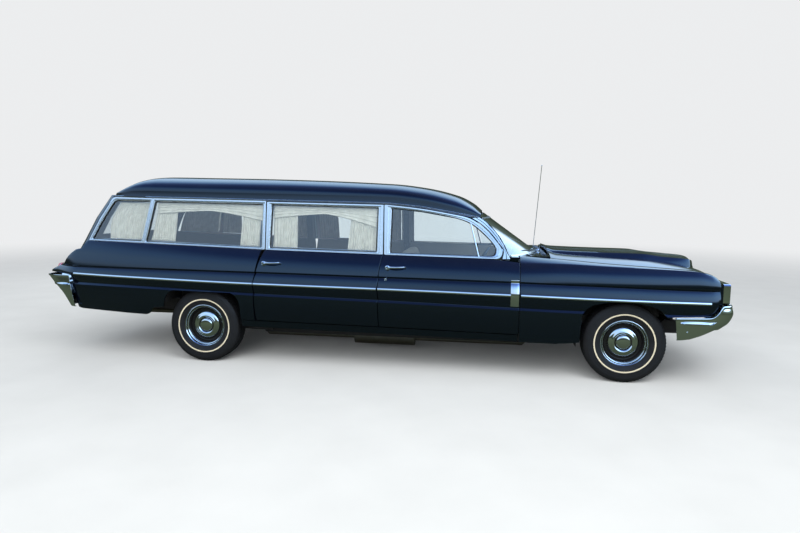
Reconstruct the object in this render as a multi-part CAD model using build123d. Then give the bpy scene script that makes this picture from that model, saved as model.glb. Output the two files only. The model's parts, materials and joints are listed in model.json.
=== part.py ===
from build123d import *
from math import hypot
import os

# A coach-built hearse on a lengthened early-sixties American chassis, in millimetres.
# X points forward, Y to the car's left, Z up. The origin is on the floor under the middle of the car.
# Heights and lengths were read from a side view, and half-widths come from cars of this class.

# Driving dimensions
WHEELBASE = 3810.0
FRONT_AXLE_X = 2270.0
REAR_AXLE_X = FRONT_AXLE_X - WHEELBASE
HALF_TRACK = 775.0
TYRE_R = 346.5
RIM_R = 178.0
GAP = 6.0  # between a moving panel and its neighbours
TALL = 2600.0  # half the length of cutters that run across the whole car

# Side wall of the body, one row for each station along the car.
# Columns: x, drip_y, drip_z (foot of the roof), belt_y, belt_z (sill of the windows),
# crease_z (upper crease), wide_y, wide_z (widest line), step_z (lower crease), foot_z (foot of the doors)
SIDE_COLUMNS = ("x", "drip_y", "drip_z", "belt_y", "belt_z", "crease_z", "wide_y", "wide_z", "step_z", "foot_z")
SIDE_ROWS = (
    (-3175, 640, 1570, 720, 1134, 900, 790, 826, 716, 470),
    (-2840, 700, 1570, 800, 1132, 897, 925, 815, 711, 468),
    (-2100, 758, 1553, 838, 1115, 893, 966, 797, 697, 446),
    (-1000, 765, 1537, 850, 1081, 887, 985, 776, 667, 434),
    (180, 765, 1518, 855, 1059, 876, 990, 765, 646, 422),
    (500, 762, 1489, 856, 1053, 873, 990, 761, 639, 417),
    (800, 753, 1438, 856, 1047, 870, 990, 757, 632, 413),
    (960, 744, 1409, 857, 1044, 868, 990, 754, 628, 410),
    (1100, 736, 1390, 858, 1041, 867, 990, 751, 625, 408),
    (1376, 768, 1300, 868, 1016, 864, 990, 747, 619, 404),
)
# How far the crease, the lower crease and the foot lie inboard of the widest line
CREASE_IN = 25.0
CREASE_DEEP = 13.0
STEP_IN = 12.0
FOOT_IN = 46.0
SILL_DROP = 68.0
SILL_IN = 26.0
PANEL_DEEP = 165.0
DOOR_INNER_Y = 800.0
FRAME_THICK = 38.0
FRAME_IN = 6.0  # from the window sill to the window wall

# Roof, one row for each station. Columns: x, edge_y, edge_z, crown_z
ROOF_COLUMNS = ("x", "edge_y", "edge_z", "crown_z")
ROOF_ROWS = (
    (-2662, 230, 1570, 1588),
    (-2625, 470, 1570, 1594),
    (-2560, 625, 1570, 1606),
    (-2500, 690, 1570, 1630),
    (-2400, 738, 1560, 1690),
    (-2300, 750, 1558, 1737),
    (-2200, 755, 1555, 1757),
    (-2100, 758, 1553, 1762),
    (-1700, 761, 1547, 1757),
    (-1000, 765, 1537, 1746),
    (180, 765, 1518, 1703),
    (500, 762, 1489, 1666),
    (800, 753, 1438, 1594),
    (960, 744, 1409, 1512),
    (1030, 740, 1399, 1450),
)
ROOF_THICK = 34.0

# Front fender, one row for each station.
# Columns: x, seam_z (edge beside the hood), crown_y, crown_z, crease_z, wide_y, wide_z, step_z, foot_z
FENDER_COLUMNS = ("x", "seam_z", "crown_y", "crown_z", "crease_z", "wide_y", "wide_z", "step_z", "foot_z")
FENDER_ROWS = (
    (1379, 1062, 868, 1014, 864, 990, 747, 619, 340),
    (1710, 1044, 880, 1013, 858, 988, 740, 612, 340),
    (2100, 1015, 882, 1002, 851, 984, 733, 608, 400),
    (2500, 990, 880, 990, 842, 974, 727, 604, 500),
    (2800, 968, 874, 976, 836, 958, 723, 600, 500),
    (2930, 945, 866, 946, 834, 945, 721, 598, 500),
    (3006, 912, 852, 905, 833, 925, 720, 596, 500),
)
SEAM_Y = 720.0
FENDER_THICK = 45.0

# Hood, one row for each station.
# Columns: x, half_width, edge_z, raised_y (half the raised middle), valley_z (at its foot), shoulder_z, ridge_z
HOOD_COLUMNS = ("x", "half_width", "edge_z", "raised_y", "valley_z", "shoulder_z", "ridge_z")
HOOD_ROWS = (
    (1650, 714, 1050, 330, 1096, 1110, 1118),
    (1720, 714, 1044, 330, 1072, 1090, 1101),
    (2142, 714, 1012, 330, 1046, 1078, 1089),
    (2500, 714, 990, 325, 1030, 1073, 1084),
    (2690, 714, 976, 315, 1008, 1049, 1064),
    (2840, 714, 962, 305, 984, 1038, 1055),
    (2930, 714, 945, 290, 960, 1028, 1047),
    (2985, 620, 928, 205, 940, 1008, 1034),
    (3026, 440, 917, 95, 924, 972, 1004),
    (3054, 170, 910, 45, 912, 918, 940),
)
HOOD_THICK = 26.0
HOOD_SWELL = 7.0
VALLEY_WIDE = 34.0

# Bumpers, one row for each level. Columns: z, x_middle, x_corner, side_y
FRONT_BUMPER_ROWS = (
    (704, 3172, 3111, 940),
    (639, 3185, 3123, 950),
    (570, 3160, 3097, 950),
    (500, 3085, 3020, 944),
    (406, 2990, 2930, 936),
)
REAR_BUMPER_ROWS = (
    (801, -3185, -3160, 900),
    (716, -3112, -3088, 942),
    (613, -3022, -2998, 944),
    (496, -2958, -2933, 936),
)
BUMPER_THICK = 34.0

# Rear end of the body in plan, one row for each level. Columns: z, side_x, side_y, corner_x, corner_y, x_middle
TAIL_ROWS = (
    (600, -2780, 842, -2925, 640, -2962),
    (826, -2905, 842, -3058, 640, -3092),
    (1134, -2752, 799, -2856, 640, -2890),
    (1350, -2648, 762, -2750, 600, -2795),
    (1570, -2500, 724, -2606, 560, -2662),
)
TAIL_THICK = 45.0

# Door gaps in side view on the outer surface, as (z, x), and the slope by which they run forward inwards
REAR_CUT = ((380, -1006), (776, -1009), (1080, -966), (1600, -997))
MIDDLE_CUT = ((380, 143), (1060, 143), (1600, 107))
FRONT_CUT = 1379.0
CUT_DATUM_Y = 1000.0
CUT_SLOPE = 0.23


def values(rows, columns, x, *names):
    """The named columns at x, on a straight line between the two nearest rows."""
    for low, high in zip(rows, rows[1:]):
        if x <= high[0]:
            break
    share = min((x - low[0]) / (high[0] - low[0]), 1)
    places = [columns.index(name) for name in names]
    return [low[k] + share * (high[k] - low[k]) for k in places]


def stations(rows, x_low, x_high):
    """The two ends and every row's x between them."""
    return [x_low] + [row[0] for row in rows if x_low + 1 < row[0] < x_high - 1] + [x_high]


def polygon(points):
    """A face inside a closed line of points."""
    return make_face(Polyline(*points, close=True))


def over(point):
    """The same place on the other side of the car, for a point (y, z) of a cross-section."""
    return (-point[0], point[1])


def plan_over(point):
    """The same place on the other side of the car, for a point (x, y) of a plan."""
    return (point[0], -point[1])


def side_view(points, radius=0.0):
    """A face in the XZ plane from (x, z) points, its corners rounded by one radius."""
    if radius:
        return Plane.XZ * make_face(FilletPolyline(*points, radius=radius, close=True))
    return Plane.XZ * polygon(points)


def through(points, radius=0.0):
    """A cutter that runs across the whole car, from a side-view outline."""
    return extrude(side_view(points, radius), amount=TALL, both=True)


def block(x_low, x_high, y_low, y_high, z_low, z_high):
    """A box between two values of each axis."""
    corner = Pos((x_low + x_high) / 2, (y_low + y_high) / 2, (z_low + z_high) / 2)
    return corner * Box(x_high - x_low, y_high - y_low, z_high - z_low)


def other_side(shape):
    """The mirror image on the other side of the car."""
    return mirror(shape, about=Plane.XZ)


def both(*shapes):
    """The shapes and their mirror images, kept as separate solids."""
    solids = [solid for shape in shapes for solid in shape.solids()]
    return Compound(children=solids + [other_side(solid) for solid in solids])


def tube_y(x, z, radius, y_low, y_high):
    """A round bar along Y."""
    return Pos(x, (y_low + y_high) / 2, z) * Rot(90, 0, 0) * Cylinder(radius, y_high - y_low)


def rod(start, end, radius):
    """A round bar from one point to another."""
    line = Line(start, end)
    return sweep(Plane(origin=start, z_dir=line @ 1 - line @ 0) * Circle(radius), path=line)


def section_plane(x):
    """The plane across the car at x, with Y to its right and Z up."""
    return Plane(origin=(x, 0, 0), x_dir=(0, 1, 0), z_dir=(1, 0, 0))


def bowed(start, end, rise):
    """An arc whose middle stands off its chord by rise, to the left of the way from start to end."""
    run = (end[0] - start[0], end[1] - start[1])
    share = rise / hypot(*run)
    middle = ((start[0] + end[0]) / 2 - share * run[1], (start[1] + end[1]) / 2 + share * run[0])
    return ThreePointArc(start, middle, end)


def lofted(faces):
    """A solid with straight lines from face to face."""
    return loft(faces, ruled=True)


def flank(crease_z, wide_y, wide_z, step_z, foot_z):
    """The points of the side below its top: crease, spear line, ledge, and the edge of the sill."""
    crease = (wide_y - CREASE_IN, crease_z)
    recess = (wide_y - CREASE_IN - CREASE_DEEP, crease_z - 15)
    wide = (wide_y, wide_z)
    tuck = (wide_y - STEP_IN - 14, step_z + 18)
    ledge = (wide_y - STEP_IN, step_z)
    foot = (wide_y - FOOT_IN, foot_z)
    return crease, recess, wide, tuck, ledge, foot


def flank_edges(points):
    """The lines and arcs through the points of the flank."""
    crease, recess, wide, tuck, ledge, foot = points
    return [Line(crease, recess), bowed(recess, wide, 7), bowed(wide, tuck, 4),
            Line(tuck, ledge), bowed(ledge, foot, 9)]


def side_section(x):
    """The left wall below the windows, cut across at x."""
    belt_y, belt_z, crease_z, wide_y, wide_z, step_z, foot_z = values(
        SIDE_ROWS, SIDE_COLUMNS, x, "belt_y", "belt_z", "crease_z", "wide_y", "wide_z", "step_z", "foot_z")
    points = flank(crease_z, wide_y, wide_z, step_z, foot_z)
    inner_y = min(DOOR_INNER_Y, wide_y - PANEL_DEEP)
    edges = [bowed((belt_y, belt_z), points[0], 16)] + flank_edges(points)
    edges += [Line(points[-1], (inner_y, foot_z)), Line((inner_y, foot_z), (inner_y, belt_z)),
              Line((inner_y, belt_z), (belt_y, belt_z))]
    return section_plane(x) * make_face(edges)


def window_section(x, thick=FRAME_THICK, inset=0.0):
    """The left wall between the window sill and the foot of the roof, cut across at x."""
    drip_y, drip_z, belt_y, belt_z = values(
        SIDE_ROWS, SIDE_COLUMNS, x, "drip_y", "drip_z", "belt_y", "belt_z")
    outer = [(belt_y - FRAME_IN - inset, belt_z), (drip_y - inset, drip_z)]
    inner = [(drip_y - inset - thick, drip_z), (belt_y - FRAME_IN - inset - thick, belt_z)]
    return section_plane(x) * polygon(outer + inner)


def fender_section(x):
    """The left front fender cut across at x: its crown beside the hood, then the flank."""
    seam_z, crown_y, crown_z, crease_z, wide_y, wide_z, step_z, foot_z = values(
        FENDER_ROWS, FENDER_COLUMNS, x, *FENDER_COLUMNS[1:])
    points = flank(crease_z, wide_y, wide_z, step_z, foot_z)
    inner_y = wide_y - PANEL_DEEP
    seam, crown = (SEAM_Y, seam_z), (crown_y, crown_z)
    edges = [bowed(seam, crown, 7), bowed(crown, points[0], 17)] + flank_edges(points)
    inner = [points[-1], (inner_y, foot_z), (inner_y, crown_z - FENDER_THICK - 15),
             (SEAM_Y, seam_z - FENDER_THICK), seam]
    edges += [Line(a, b) for a, b in zip(inner, inner[1:])]
    return section_plane(x) * make_face(edges)


def roof_section(x, inset):
    """The roof cut across at x: upright edge, round shoulder and crowned top, all moved in by inset."""
    edge_y, edge_z, crown_z = values(ROOF_ROWS, ROOF_COLUMNS, x, *ROOF_COLUMNS[1:])
    edge_y, crown_z = edge_y - inset, crown_z - inset
    height = crown_z - edge_z
    lift = min(0.28 * height, 50)
    edge, side = (edge_y, edge_z), (edge_y - 0.22 * lift, edge_z + lift)
    shoulder = (0.80 * edge_y, edge_z + 0.80 * height)
    rise = 0.10 * height
    edges = [Line(edge, side), bowed(shoulder, side, rise), ThreePointArc(over(shoulder), (0, crown_z), shoulder),
             bowed(over(side), over(shoulder), rise), Line(over(edge), over(side)), Line(over(edge), edge)]
    return section_plane(x) * make_face(edges)


def along(rows, section, x_low, x_high, *more):
    """A solid through the cross-sections at the two ends and at every station between them."""
    return lofted([section(x, *more) for x in stations(rows, x_low, x_high)])


def shifted(points, y):
    """An outline on the outer surface, slid forward for a plane at y by the slope of the door gaps."""
    return [(x + CUT_SLOPE * (CUT_DATUM_Y - y), z) for x, z in points]


def tapered(outline, moving, y_low=640, y_high=1010):
    """A cutter through the left wall. Points listed in moving slide forward towards the inside."""
    faces = []
    for y in (y_low, y_high):
        slid = shifted(outline, y)
        points = [slid[k] if k in moving else outline[k] for k in range(len(outline))]
        faces.append(Plane(origin=(0, y, 0), x_dir=(1, 0, 0), z_dir=(0, -1, 0)) * polygon(points))
    return lofted(faces)


def cut_x(table, z):
    """The middle of a door gap at the height z."""
    for (z_low, x_low), (z_high, x_high) in zip(table, table[1:]):
        if z <= z_high:
            return x_low + (x_high - x_low) * (z - z_low) / (z_high - z_low)
    return table[-1][1]


def edge_points(table, levels, side):
    """Points up one door gap, half a gap to the given side of its middle."""
    return [(cut_x(table, z) + side * GAP / 2, z) for z in levels]


nodes = {}

# Side walls: the lower panels and the window wall are each one long skin, parted where the real panels meet
wall_left = along(SIDE_ROWS, side_section, -3175, 1376)
window_wall = along(SIDE_ROWS, window_section, -2840, 1376)

# Glass openings in side view, corners in order
FRONT_GLASS = ((244, 1076), (248, 1466), (500, 1444), (680, 1418), (805, 1391), (929, 1350), (1012, 1062))
VENT_GLASS = ((1036, 1061), (966, 1330), (1072, 1238), (1135, 1178), (1170, 1119), (1150, 1066))
REAR_GLASS = ((-885, 1096), (-882, 1489), (108, 1470), (104, 1080))
LONG_GLASS = ((-2130, 1131), (-2056, 1505), (-976, 1490), (-976, 1100))
QUARTER_GLASS = ((-2710, 1146), (-2628, 1312), (-2498, 1513), (-2113, 1509), (-2185, 1134))
CORNER_R = 9.0
TOP_DROP = 17.0
RAIL_DROP = 11.0

GLASS_THICK = 5.0


def under_drip(x, drop):
    """The point of a side view at x that lies below the foot of the roof by drop."""
    return (x, values(SIDE_ROWS, SIDE_COLUMNS, x, "drip_z")[0] - drop)


front_head = [under_drip(x, TOP_DROP) for x in (500, 800, 925)]
vent_edge = [(1026, 1341), (1115, 1264), (1186, 1179), (1231, 1112), (1206, 1030)]


def front_door():
    """The left front door: lower panel, and a frame round its window and vent window."""
    lower = tapered(edge_points(MIDDLE_CUT, (380, 1060, 1200), 1) + [(FRONT_CUT - 3, 1200), (FRONT_CUT - 3, 380)],
                    (0, 1, 2))
    upper = tapered(edge_points(MIDDLE_CUT, (1030, 1505), 1) + front_head + vent_edge, (0, 1))
    frame = (window_wall & upper) - through(FRONT_GLASS, CORNER_R) - through(VENT_GLASS, CORNER_R)
    return (wall_left & lower) + frame


def rear_door():
    """The left rear door, between two gaps that run forward inwards."""
    front = edge_points(MIDDLE_CUT, (380, 1060, 1200), -1)
    rear = edge_points(REAR_CUT, (380, 776, 1080, 1200), 1)
    lower = tapered(rear + front[::-1], tuple(range(7)))
    upper = tapered(edge_points(REAR_CUT, (1030, 1519), 1) + edge_points(MIDDLE_CUT, (1502, 1030), -1), (0, 1, 2, 3))
    return (wall_left & lower) + ((window_wall & upper) - through(REAR_GLASS, CORNER_R))


glass_sheet = along(SIDE_ROWS, window_section, -2840, 1376, GLASS_THICK, FRAME_THICK / 2)


def pane(outline):
    """A flat window in the middle of the window wall, filling its opening."""
    return glass_sheet & through(outline, CORNER_R)


def add_pair(name, shape):
    """A left-hand piece and its mirror image, as two nodes."""
    nodes[f"{name}_left"] = shape
    nodes[f"{name}_right"] = other_side(shape)


add_pair("front_door", front_door())
add_pair("rear_door", rear_door())
add_pair("front_door_glass", pane(FRONT_GLASS) + pane(VENT_GLASS))
add_pair("rear_door_glass", pane(REAR_GLASS))


def wheelhouse(axle_x, radius, y_high, y_low=560):
    """A round space about a wheel's axle."""
    return Pos(axle_x, (y_low + y_high) / 2, TYRE_R) * Rot(90, 0, 0) * Cylinder(radius, y_high - y_low)


# Wheel openings in side view, each with the places in it of the middle points of its arcs
FRONT_ARCH = ((1885, 300), (1889, 464), (1917, 632), (1995, 690), (2235, 721), (2440, 690), (2560, 622),
              (2612, 500), (2640, 300))
FRONT_ARCH_MIDDLES = (2, 4, 6)
REAR_ARCH = ((-1139, 300), (-1139, 555), (-1163, 636), (-1229, 684), (-1800, 693), (-1868, 640), (-1895, 530),
             (-2020, 518), (-2052, 466), (-2110, 443), (-2400, 380))
REAR_ARCH_MIDDLES = (2, 5, 8)


def arch_cut(points, middles):
    """A cutter across the car from an outline of lines, with an arc through each middle point."""
    ring = points + points[:1]
    edges = []
    for k in range(len(points)):
        if k + 1 in middles:
            edges.append(ThreePointArc(*ring[k:k + 3]))
        elif k not in middles:
            edges.append(Line(ring[k], ring[k + 1]))
    return extrude(Plane.XZ * make_face(edges), amount=TALL, both=True)


# Rear quarters, from the door gap to the tip of the fin
QUARTER_TAIL = ((-2700, 1250), (-2757, 1131), (-2798, 1052), (-2843, 1050), (-2861, 1037), (-2914, 998),
                (-2950, 960), (-2985, 914), (-3165, 838), (-3176, 824), (-3176, 808),
                (-2876, 806), (-2866, 724), (-2850, 646), (-2828, 486), (-2792, 474), (-2110, 443), (-1139, 360))
quarter_front = edge_points(REAR_CUT, (380, 776, 1080, 1250), -1)
quarter = wall_left & tapered(quarter_front + list(QUARTER_TAIL), (0, 1, 2, 3))
quarter -= wheelhouse(REAR_AXLE_X, 400, 925)
quarter -= arch_cut(REAR_ARCH, REAR_ARCH_MIDDLES)

# Bright frames round the fixed windows, with their glass
FRAME_REAR = ((-2519, 1552), (-2625, 1395), (-2720, 1210), (-2754, 1128), (-2760, 1030))
frame_top = [under_drip(x, RAIL_DROP) for x in (-1040, -2100)]
frame_front = edge_points(REAR_CUT, (1030, frame_top[0][1]), -1)
fixed_glass = pane(LONG_GLASS) + pane(QUARTER_GLASS)
window_frame = window_wall & tapered(frame_front + frame_top + list(FRAME_REAR), (0, 1))
window_frame = window_frame - through(LONG_GLASS, CORNER_R) - through(QUARTER_GLASS, CORNER_R)

# Inner side frames: sill, posts behind the doors, roof rail and windscreen pillar
POST_BACK = 16.0
RAIL_DEEP = 100.0


def sill_section(x):
    """The sill under the doors, cut across at x."""
    wide_y, foot_z = values(SIDE_ROWS, SIDE_COLUMNS, x, "wide_y", "foot_z")
    top, bottom = (wide_y - FOOT_IN - 2, foot_z - 7), (wide_y - FOOT_IN - SILL_IN, foot_z - SILL_DROP)
    return section_plane(x) * polygon([top, bottom, (bottom[0] - 130, bottom[1]), (700, 360), (700, top[1])])


def rail_section(x):
    """The roof rail: a drip edge over the doors and a deeper header inboard of their frames."""
    y, z = values(SIDE_ROWS, SIDE_COLUMNS, x, "drip_y", "drip_z")
    inner = y - FRAME_THICK - POST_BACK - 8
    top = z - 1.5
    return section_plane(x) * polygon([(y, top), (y - RAIL_DEEP, top), (y - RAIL_DEEP, z - 52), (inner, z - 52),
                                       (inner, z - RAIL_DROP), (y, z - RAIL_DROP)])


def post(x_middle, width):
    """A post behind a door gap: upright to the window sill, then leaning in with the window wall."""
    drip_y, drip_z, belt_y, belt_z = values(
        SIDE_ROWS, SIDE_COLUMNS, x_middle, "drip_y", "drip_z", "belt_y", "belt_z")
    low_y = DOOR_INNER_Y - POST_BACK
    sill_y, top_y = (y - FRAME_IN - FRAME_THICK - POST_BACK - 4 for y in (belt_y, drip_y))
    outline = [(low_y, 350), (low_y, belt_z - 10), (sill_y, belt_z + 15), (top_y, drip_z - 4),
               (top_y - 40, drip_z - 4), (low_y - 80, belt_z), (low_y - 80, 350)]
    return Pos(-width / 2, 0, 0) * extrude(section_plane(x_middle) * polygon(outline), amount=width)


PILLAR = ((950, 1396), (1028, 1396), (1114, 1325), (1203, 1214), (1247, 1138), (1278, 1066), (1290, 1046),
          (1221, 1046), (1237, 1115), (1192, 1182), (1120, 1268), (1031, 1347), (952, 1391))
side_frame = along(SIDE_ROWS, sill_section, -1139, 1370) + along(SIDE_ROWS, rail_section, -2500, 1020)
side_frame += post(172, 70) + post(-985, 70)
side_frame += window_wall & through(PILLAR)
side_frame += block(1290, 1368, 700, DOOR_INNER_Y - POST_BACK, 350, 1040)
side_frame += block(1244, 1368, 700, 846, 1040, 1062)

window_frame -= side_frame

# Roof skin, hollow below
roof = along(ROOF_ROWS, roof_section, -2662, 1030, 0.0)
roof -= along(ROOF_ROWS, roof_section, -2500, 985, ROOF_THICK)


def plan_plane(z):
    """The level plane at the height z."""
    return Plane.XY.offset(z)


def tail_section(row, low=0.0, high=TAIL_THICK):
    """The rear end in plan at one level: a band between two depths below the outer surface."""
    z, side_x, side_y, corner_x, corner_y, x_middle = row

    def line_at(depth):
        """The side, corner and middle points of the plan, moved in by depth."""
        side = (side_x, side_y - depth)
        corner = (corner_x + 0.75 * depth, corner_y - 0.45 * depth)
        return side, corner, (x_middle + depth, 0)

    (side, corner, middle), (side_in, corner_in, middle_in) = line_at(low), line_at(high)
    swell = 0.17 * hypot(side[0] - corner[0], side[1] - corner[1])
    outer = [bowed(side, corner, -swell), ThreePointArc(corner, middle, plan_over(corner)),
             bowed(plan_over(corner), plan_over(side), -swell)]
    inner = [bowed(plan_over(side_in), plan_over(corner_in), swell),
             ThreePointArc(plan_over(corner_in), middle_in, corner_in), bowed(corner_in, side_in, swell)]
    caps = [Line(plan_over(side), plan_over(side_in)), Line(side_in, side)]
    return plan_plane(z) * make_face(outer + caps[:1] + inner + caps[1:])


# Outlines of the rear door and its glass seen from behind. Columns: z, half_width, x of the skin at the edge
REAR_DOOR_ROWS = ((818, 612, -3066), (1134, 612, -2866), (1350, 576, -2762), (1556, 538, -2614))
REAR_PANE_ROWS = ((1172, 500, -2850), (1500, 452, -2660))
LATCH_SLOPE = 0.5
BEHIND_X = -3300.0
CUTTER_LONG = 900.0


def rear_cutter(rows, grow, latch_slope):
    """A cutter along X. Its right-hand side closes towards the front, so that the door can swing out."""
    faces = []
    levels = [row[0] for row in rows]
    levels[0] -= grow
    levels[-1] += grow
    for x in (BEHIND_X, BEHIND_X + CUTTER_LONG):
        left = [(half + grow, z) for z, (_, half, _) in zip(levels, rows)]
        right = [(-half - grow + latch_slope * (x - skin), z) for z, (_, half, skin) in zip(levels, rows)]
        faces.append(section_plane(x) * polygon(left + right[::-1]))
    return lofted(faces)


tail = lofted([tail_section(row) for row in TAIL_ROWS])
tail_pane = lofted([tail_section(row, 18, 23) for row in TAIL_ROWS])
rear_pane = tail_pane & rear_cutter(REAR_PANE_ROWS, 8, 0)
rear_wall = tail - rear_cutter(REAR_DOOR_ROWS, GAP, LATCH_SLOPE)
for beside in (quarter, window_frame, side_frame):
    rear_wall = rear_wall - beside - other_side(beside)
loading_door = (tail & rear_cutter(REAR_DOOR_ROWS, 0, LATCH_SLOPE)) - rear_cutter(REAR_PANE_ROWS, 0, 0) - rear_pane

# Front fenders, with the wheel opening and the step over the end of the bumper
FENDER_NOSE = ((1300, 1150), (2920, 1150), (2975, 941), (2990, 902), (2995, 833), (2992, 764), (2976, 716),
               (2966, 640), (2925, 612), (2634, 603), (2580, 300), (1730, 300), (1560, 338), (1300, 338))
fender = along(FENDER_ROWS, fender_section, 1382, 3006) & through(FENDER_NOSE)
fender -= wheelhouse(FRONT_AXLE_X, 425, 928)
fender -= arch_cut(FRONT_ARCH, FRONT_ARCH_MIDDLES)


# Hood with a raised middle, hinged along its rear edge
def hood_section(x):
    """The hood cut across at x: flat sides, a valley, and the raised middle with its crowned top."""
    half, edge_z, raised_y, valley_z, shoulder_z, ridge_z = values(HOOD_ROWS, HOOD_COLUMNS, x, *HOOD_COLUMNS[1:])
    top = [(half, edge_z), (raised_y + VALLEY_WIDE, valley_z), (raised_y, shoulder_z), (0, ridge_z)]
    under = [(y, z - HOOD_THICK) for y, z in top]
    skins = []
    for edge, valley, shoulder, ridge in (top, under):
        skins += [bowed(edge, valley, -HOOD_SWELL), Line(valley, shoulder),
                  ThreePointArc(shoulder, ridge, over(shoulder)), Line(over(shoulder), over(valley)),
                  bowed(over(valley), over(edge), -HOOD_SWELL)]
    sides = [Line(top[0], under[0]), Line((-half, edge_z), (-half, edge_z - HOOD_THICK))]
    return section_plane(x) * make_face(skins + sides)


hood = along(HOOD_ROWS, hood_section, HOOD_ROWS[0][0], HOOD_ROWS[-1][0])

# Front panel between the fenders, with a bore behind each lamp and an opening behind the grille
LAMP_Z = 794.0
LAMP_R = 73.0
LAMPS = ((560, 3076), (775, 3067))  # columns: y, x of the lens
LAMP_FLARE = 8.0
BEZEL_Z = 796.0
BEZEL_TALL = 168.0
BEZEL_Y = (444.0, 890.0)
BEZEL_DEEP = 54.0
NOSE_X = 3046.0
NOSE_SWEEP = 24.0
NOSE_HALF = 886.0
NOSE_BACK = 2997.0
NOSE_LOW, NOSE_HIGH = 694.0, 876.0
GRILLE_HALF = 440.0
GRILLE_LOW, GRILLE_HIGH = 704.0, 848.0


def nose_solid(back, middle, z_low, z_high):
    """A block across the nose with a flat back and a gently curved front."""
    corner = middle - NOSE_SWEEP
    plan = make_face([Line((back, NOSE_HALF), (corner, NOSE_HALF)),
                      ThreePointArc((corner, NOSE_HALF), (middle, 0), (corner, -NOSE_HALF)),
                      Line((corner, -NOSE_HALF), (back, -NOSE_HALF)), Line((back, -NOSE_HALF), (back, NOSE_HALF))])
    return Pos(0, 0, z_low) * extrude(plan, amount=z_high - z_low)


front_panel = nose_solid(NOSE_BACK, NOSE_X, NOSE_LOW, NOSE_HIGH)
front_panel += block(2950, NOSE_BACK, -716, 716, NOSE_LOW, NOSE_HIGH - 18)
front_panel -= block(2900, 3100, -GRILLE_HALF + 20, GRILLE_HALF - 20, GRILLE_LOW + 16, GRILLE_HIGH - 14)


def lamp_disc(y, x_low, x_high, radius):
    """A round solid about a lamp's middle line."""
    return Pos((x_low + x_high) / 2, y, LAMP_Z) * Rot(0, 90, 0) * Cylinder(radius, x_high - x_low)


def lamp_lens(y, front_x):
    """A sealed lamp: a barrel with a rounded front edge."""
    barrel = lamp_disc(y, front_x - 48, front_x, LAMP_R)
    return fillet(barrel.edges().sort_by(Axis.X)[-1], 18)


bezel_face = RectangleRounded(BEZEL_Y[1] - BEZEL_Y[0], BEZEL_TALL, 26)
bezel = extrude(Plane.YZ.offset(3000) * Pos(sum(BEZEL_Y) / 2, BEZEL_Z) * bezel_face, amount=120)
bezel &= nose_solid(3000, NOSE_X + BEZEL_DEEP, 650, 950)
bezel -= nose_solid(2990, NOSE_X + 0.5, 650, 950)
lamps = []
for y, front_x in LAMPS:
    bezel -= lamp_disc(y, 3000, 3120, LAMP_R + 1)
    bezel -= Pos(front_x, y, LAMP_Z) * Rot(0, 90, 0) * Cone(LAMP_R + 1, LAMP_R + 1 + LAMP_FLARE, 34)
    bore = lamp_disc(y, front_x - 50, front_x, LAMP_R + 1)
    front_panel = front_panel - bore - other_side(bore)
    lamps.append(lamp_lens(y, front_x))

# Grille: a frame with level bars across upright fins
GRILLE_BACK = NOSE_X + 1
GRILLE_DEEP = 44.0
GRILLE_BARS = 6
GRILLE_FINS = 17
FRAME_WIDE = 12.0
BAR_HALF = 4.0
FIN_HALF = 3.0
mid_z = (GRILLE_LOW + GRILLE_HIGH) / 2
grille_tall = GRILLE_HIGH - GRILLE_LOW
grille_hole = Rectangle(2 * (GRILLE_HALF - FRAME_WIDE), grille_tall - 20)
grille_frame = Rectangle(2 * GRILLE_HALF, grille_tall) - grille_hole
grille = extrude(Plane.YZ.offset(GRILLE_BACK) * Pos(0, mid_z) * grille_frame, amount=GRILLE_DEEP)
bar_pitch = (grille_tall - 10) / (GRILLE_BARS + 1)
for k in range(1, GRILLE_BARS + 1):
    z = GRILLE_LOW + 5 + k * bar_pitch
    grille += block(GRILLE_BACK + 18, GRILLE_BACK + GRILLE_DEEP + 4, -GRILLE_HALF + 8, GRILLE_HALF - 8,
                    z - BAR_HALF, z + BAR_HALF)
fin_pitch = 2 * (GRILLE_HALF - FRAME_WIDE) / (GRILLE_FINS + 1)
for k in range(1, GRILLE_FINS + 1):
    y = -GRILLE_HALF + FRAME_WIDE + k * fin_pitch
    grille += block(GRILLE_BACK + 8, GRILLE_BACK + 28, y - FIN_HALF, y + FIN_HALF, GRILLE_LOW + 6, GRILLE_HIGH - 6)


# Bumpers
def bumper_line(end, knee, corner_x, middle_x):
    """Half of a bumper's plan from its end round the corner to the middle, and the same on the other side."""
    forward = 1 if end[0] > 0 else -1
    turn, tip = (corner_x - forward * 34, knee[1] - 34), (corner_x, knee[1] - 135)
    return [Line(end, knee), ThreePointArc(knee, turn, tip), ThreePointArc(tip, (middle_x, 0), plan_over(tip)),
            ThreePointArc(plan_over(tip), plan_over(turn), plan_over(knee)), Line(plan_over(knee), plan_over(end))]


def bumper(rows, end_x, trim):
    """A band in plan, lofted from level to level and trimmed to its outline in side view."""
    depth_x = BUMPER_THICK if end_x > 0 else -BUMPER_THICK
    bend_x = 140 if end_x > 0 else -140
    faces = []
    for z, middle_x, corner_x, side_y in rows:
        end, end_in = (end_x, side_y), (end_x, side_y - BUMPER_THICK)
        outer = bumper_line(end, (corner_x - bend_x, side_y), corner_x, middle_x)
        inner = bumper_line(end_in, (corner_x - bend_x, end_in[1]), corner_x - depth_x, middle_x - depth_x)
        caps = [Line(end, end_in), Line(plan_over(end), plan_over(end_in))]
        faces.append(plan_plane(z) * make_face(outer + caps + inner))
    return lofted(faces) & through(trim)


front_bumper = bumper(FRONT_BUMPER_ROWS, 2600, (
    (3250, 720), (3012, 704), (2976, 640), (2950, 610), (2900, 602), (2643, 593), (2669, 408), (2765, 420),
    (2847, 452), (2954, 505), (3250, 505)))
rear_bumper = bumper(REAR_BUMPER_ROWS, -2800, (
    (-3250, 802), (-2882, 799), (-2872, 724), (-2856, 646), (-2832, 496), (-3250, 496)))

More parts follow.
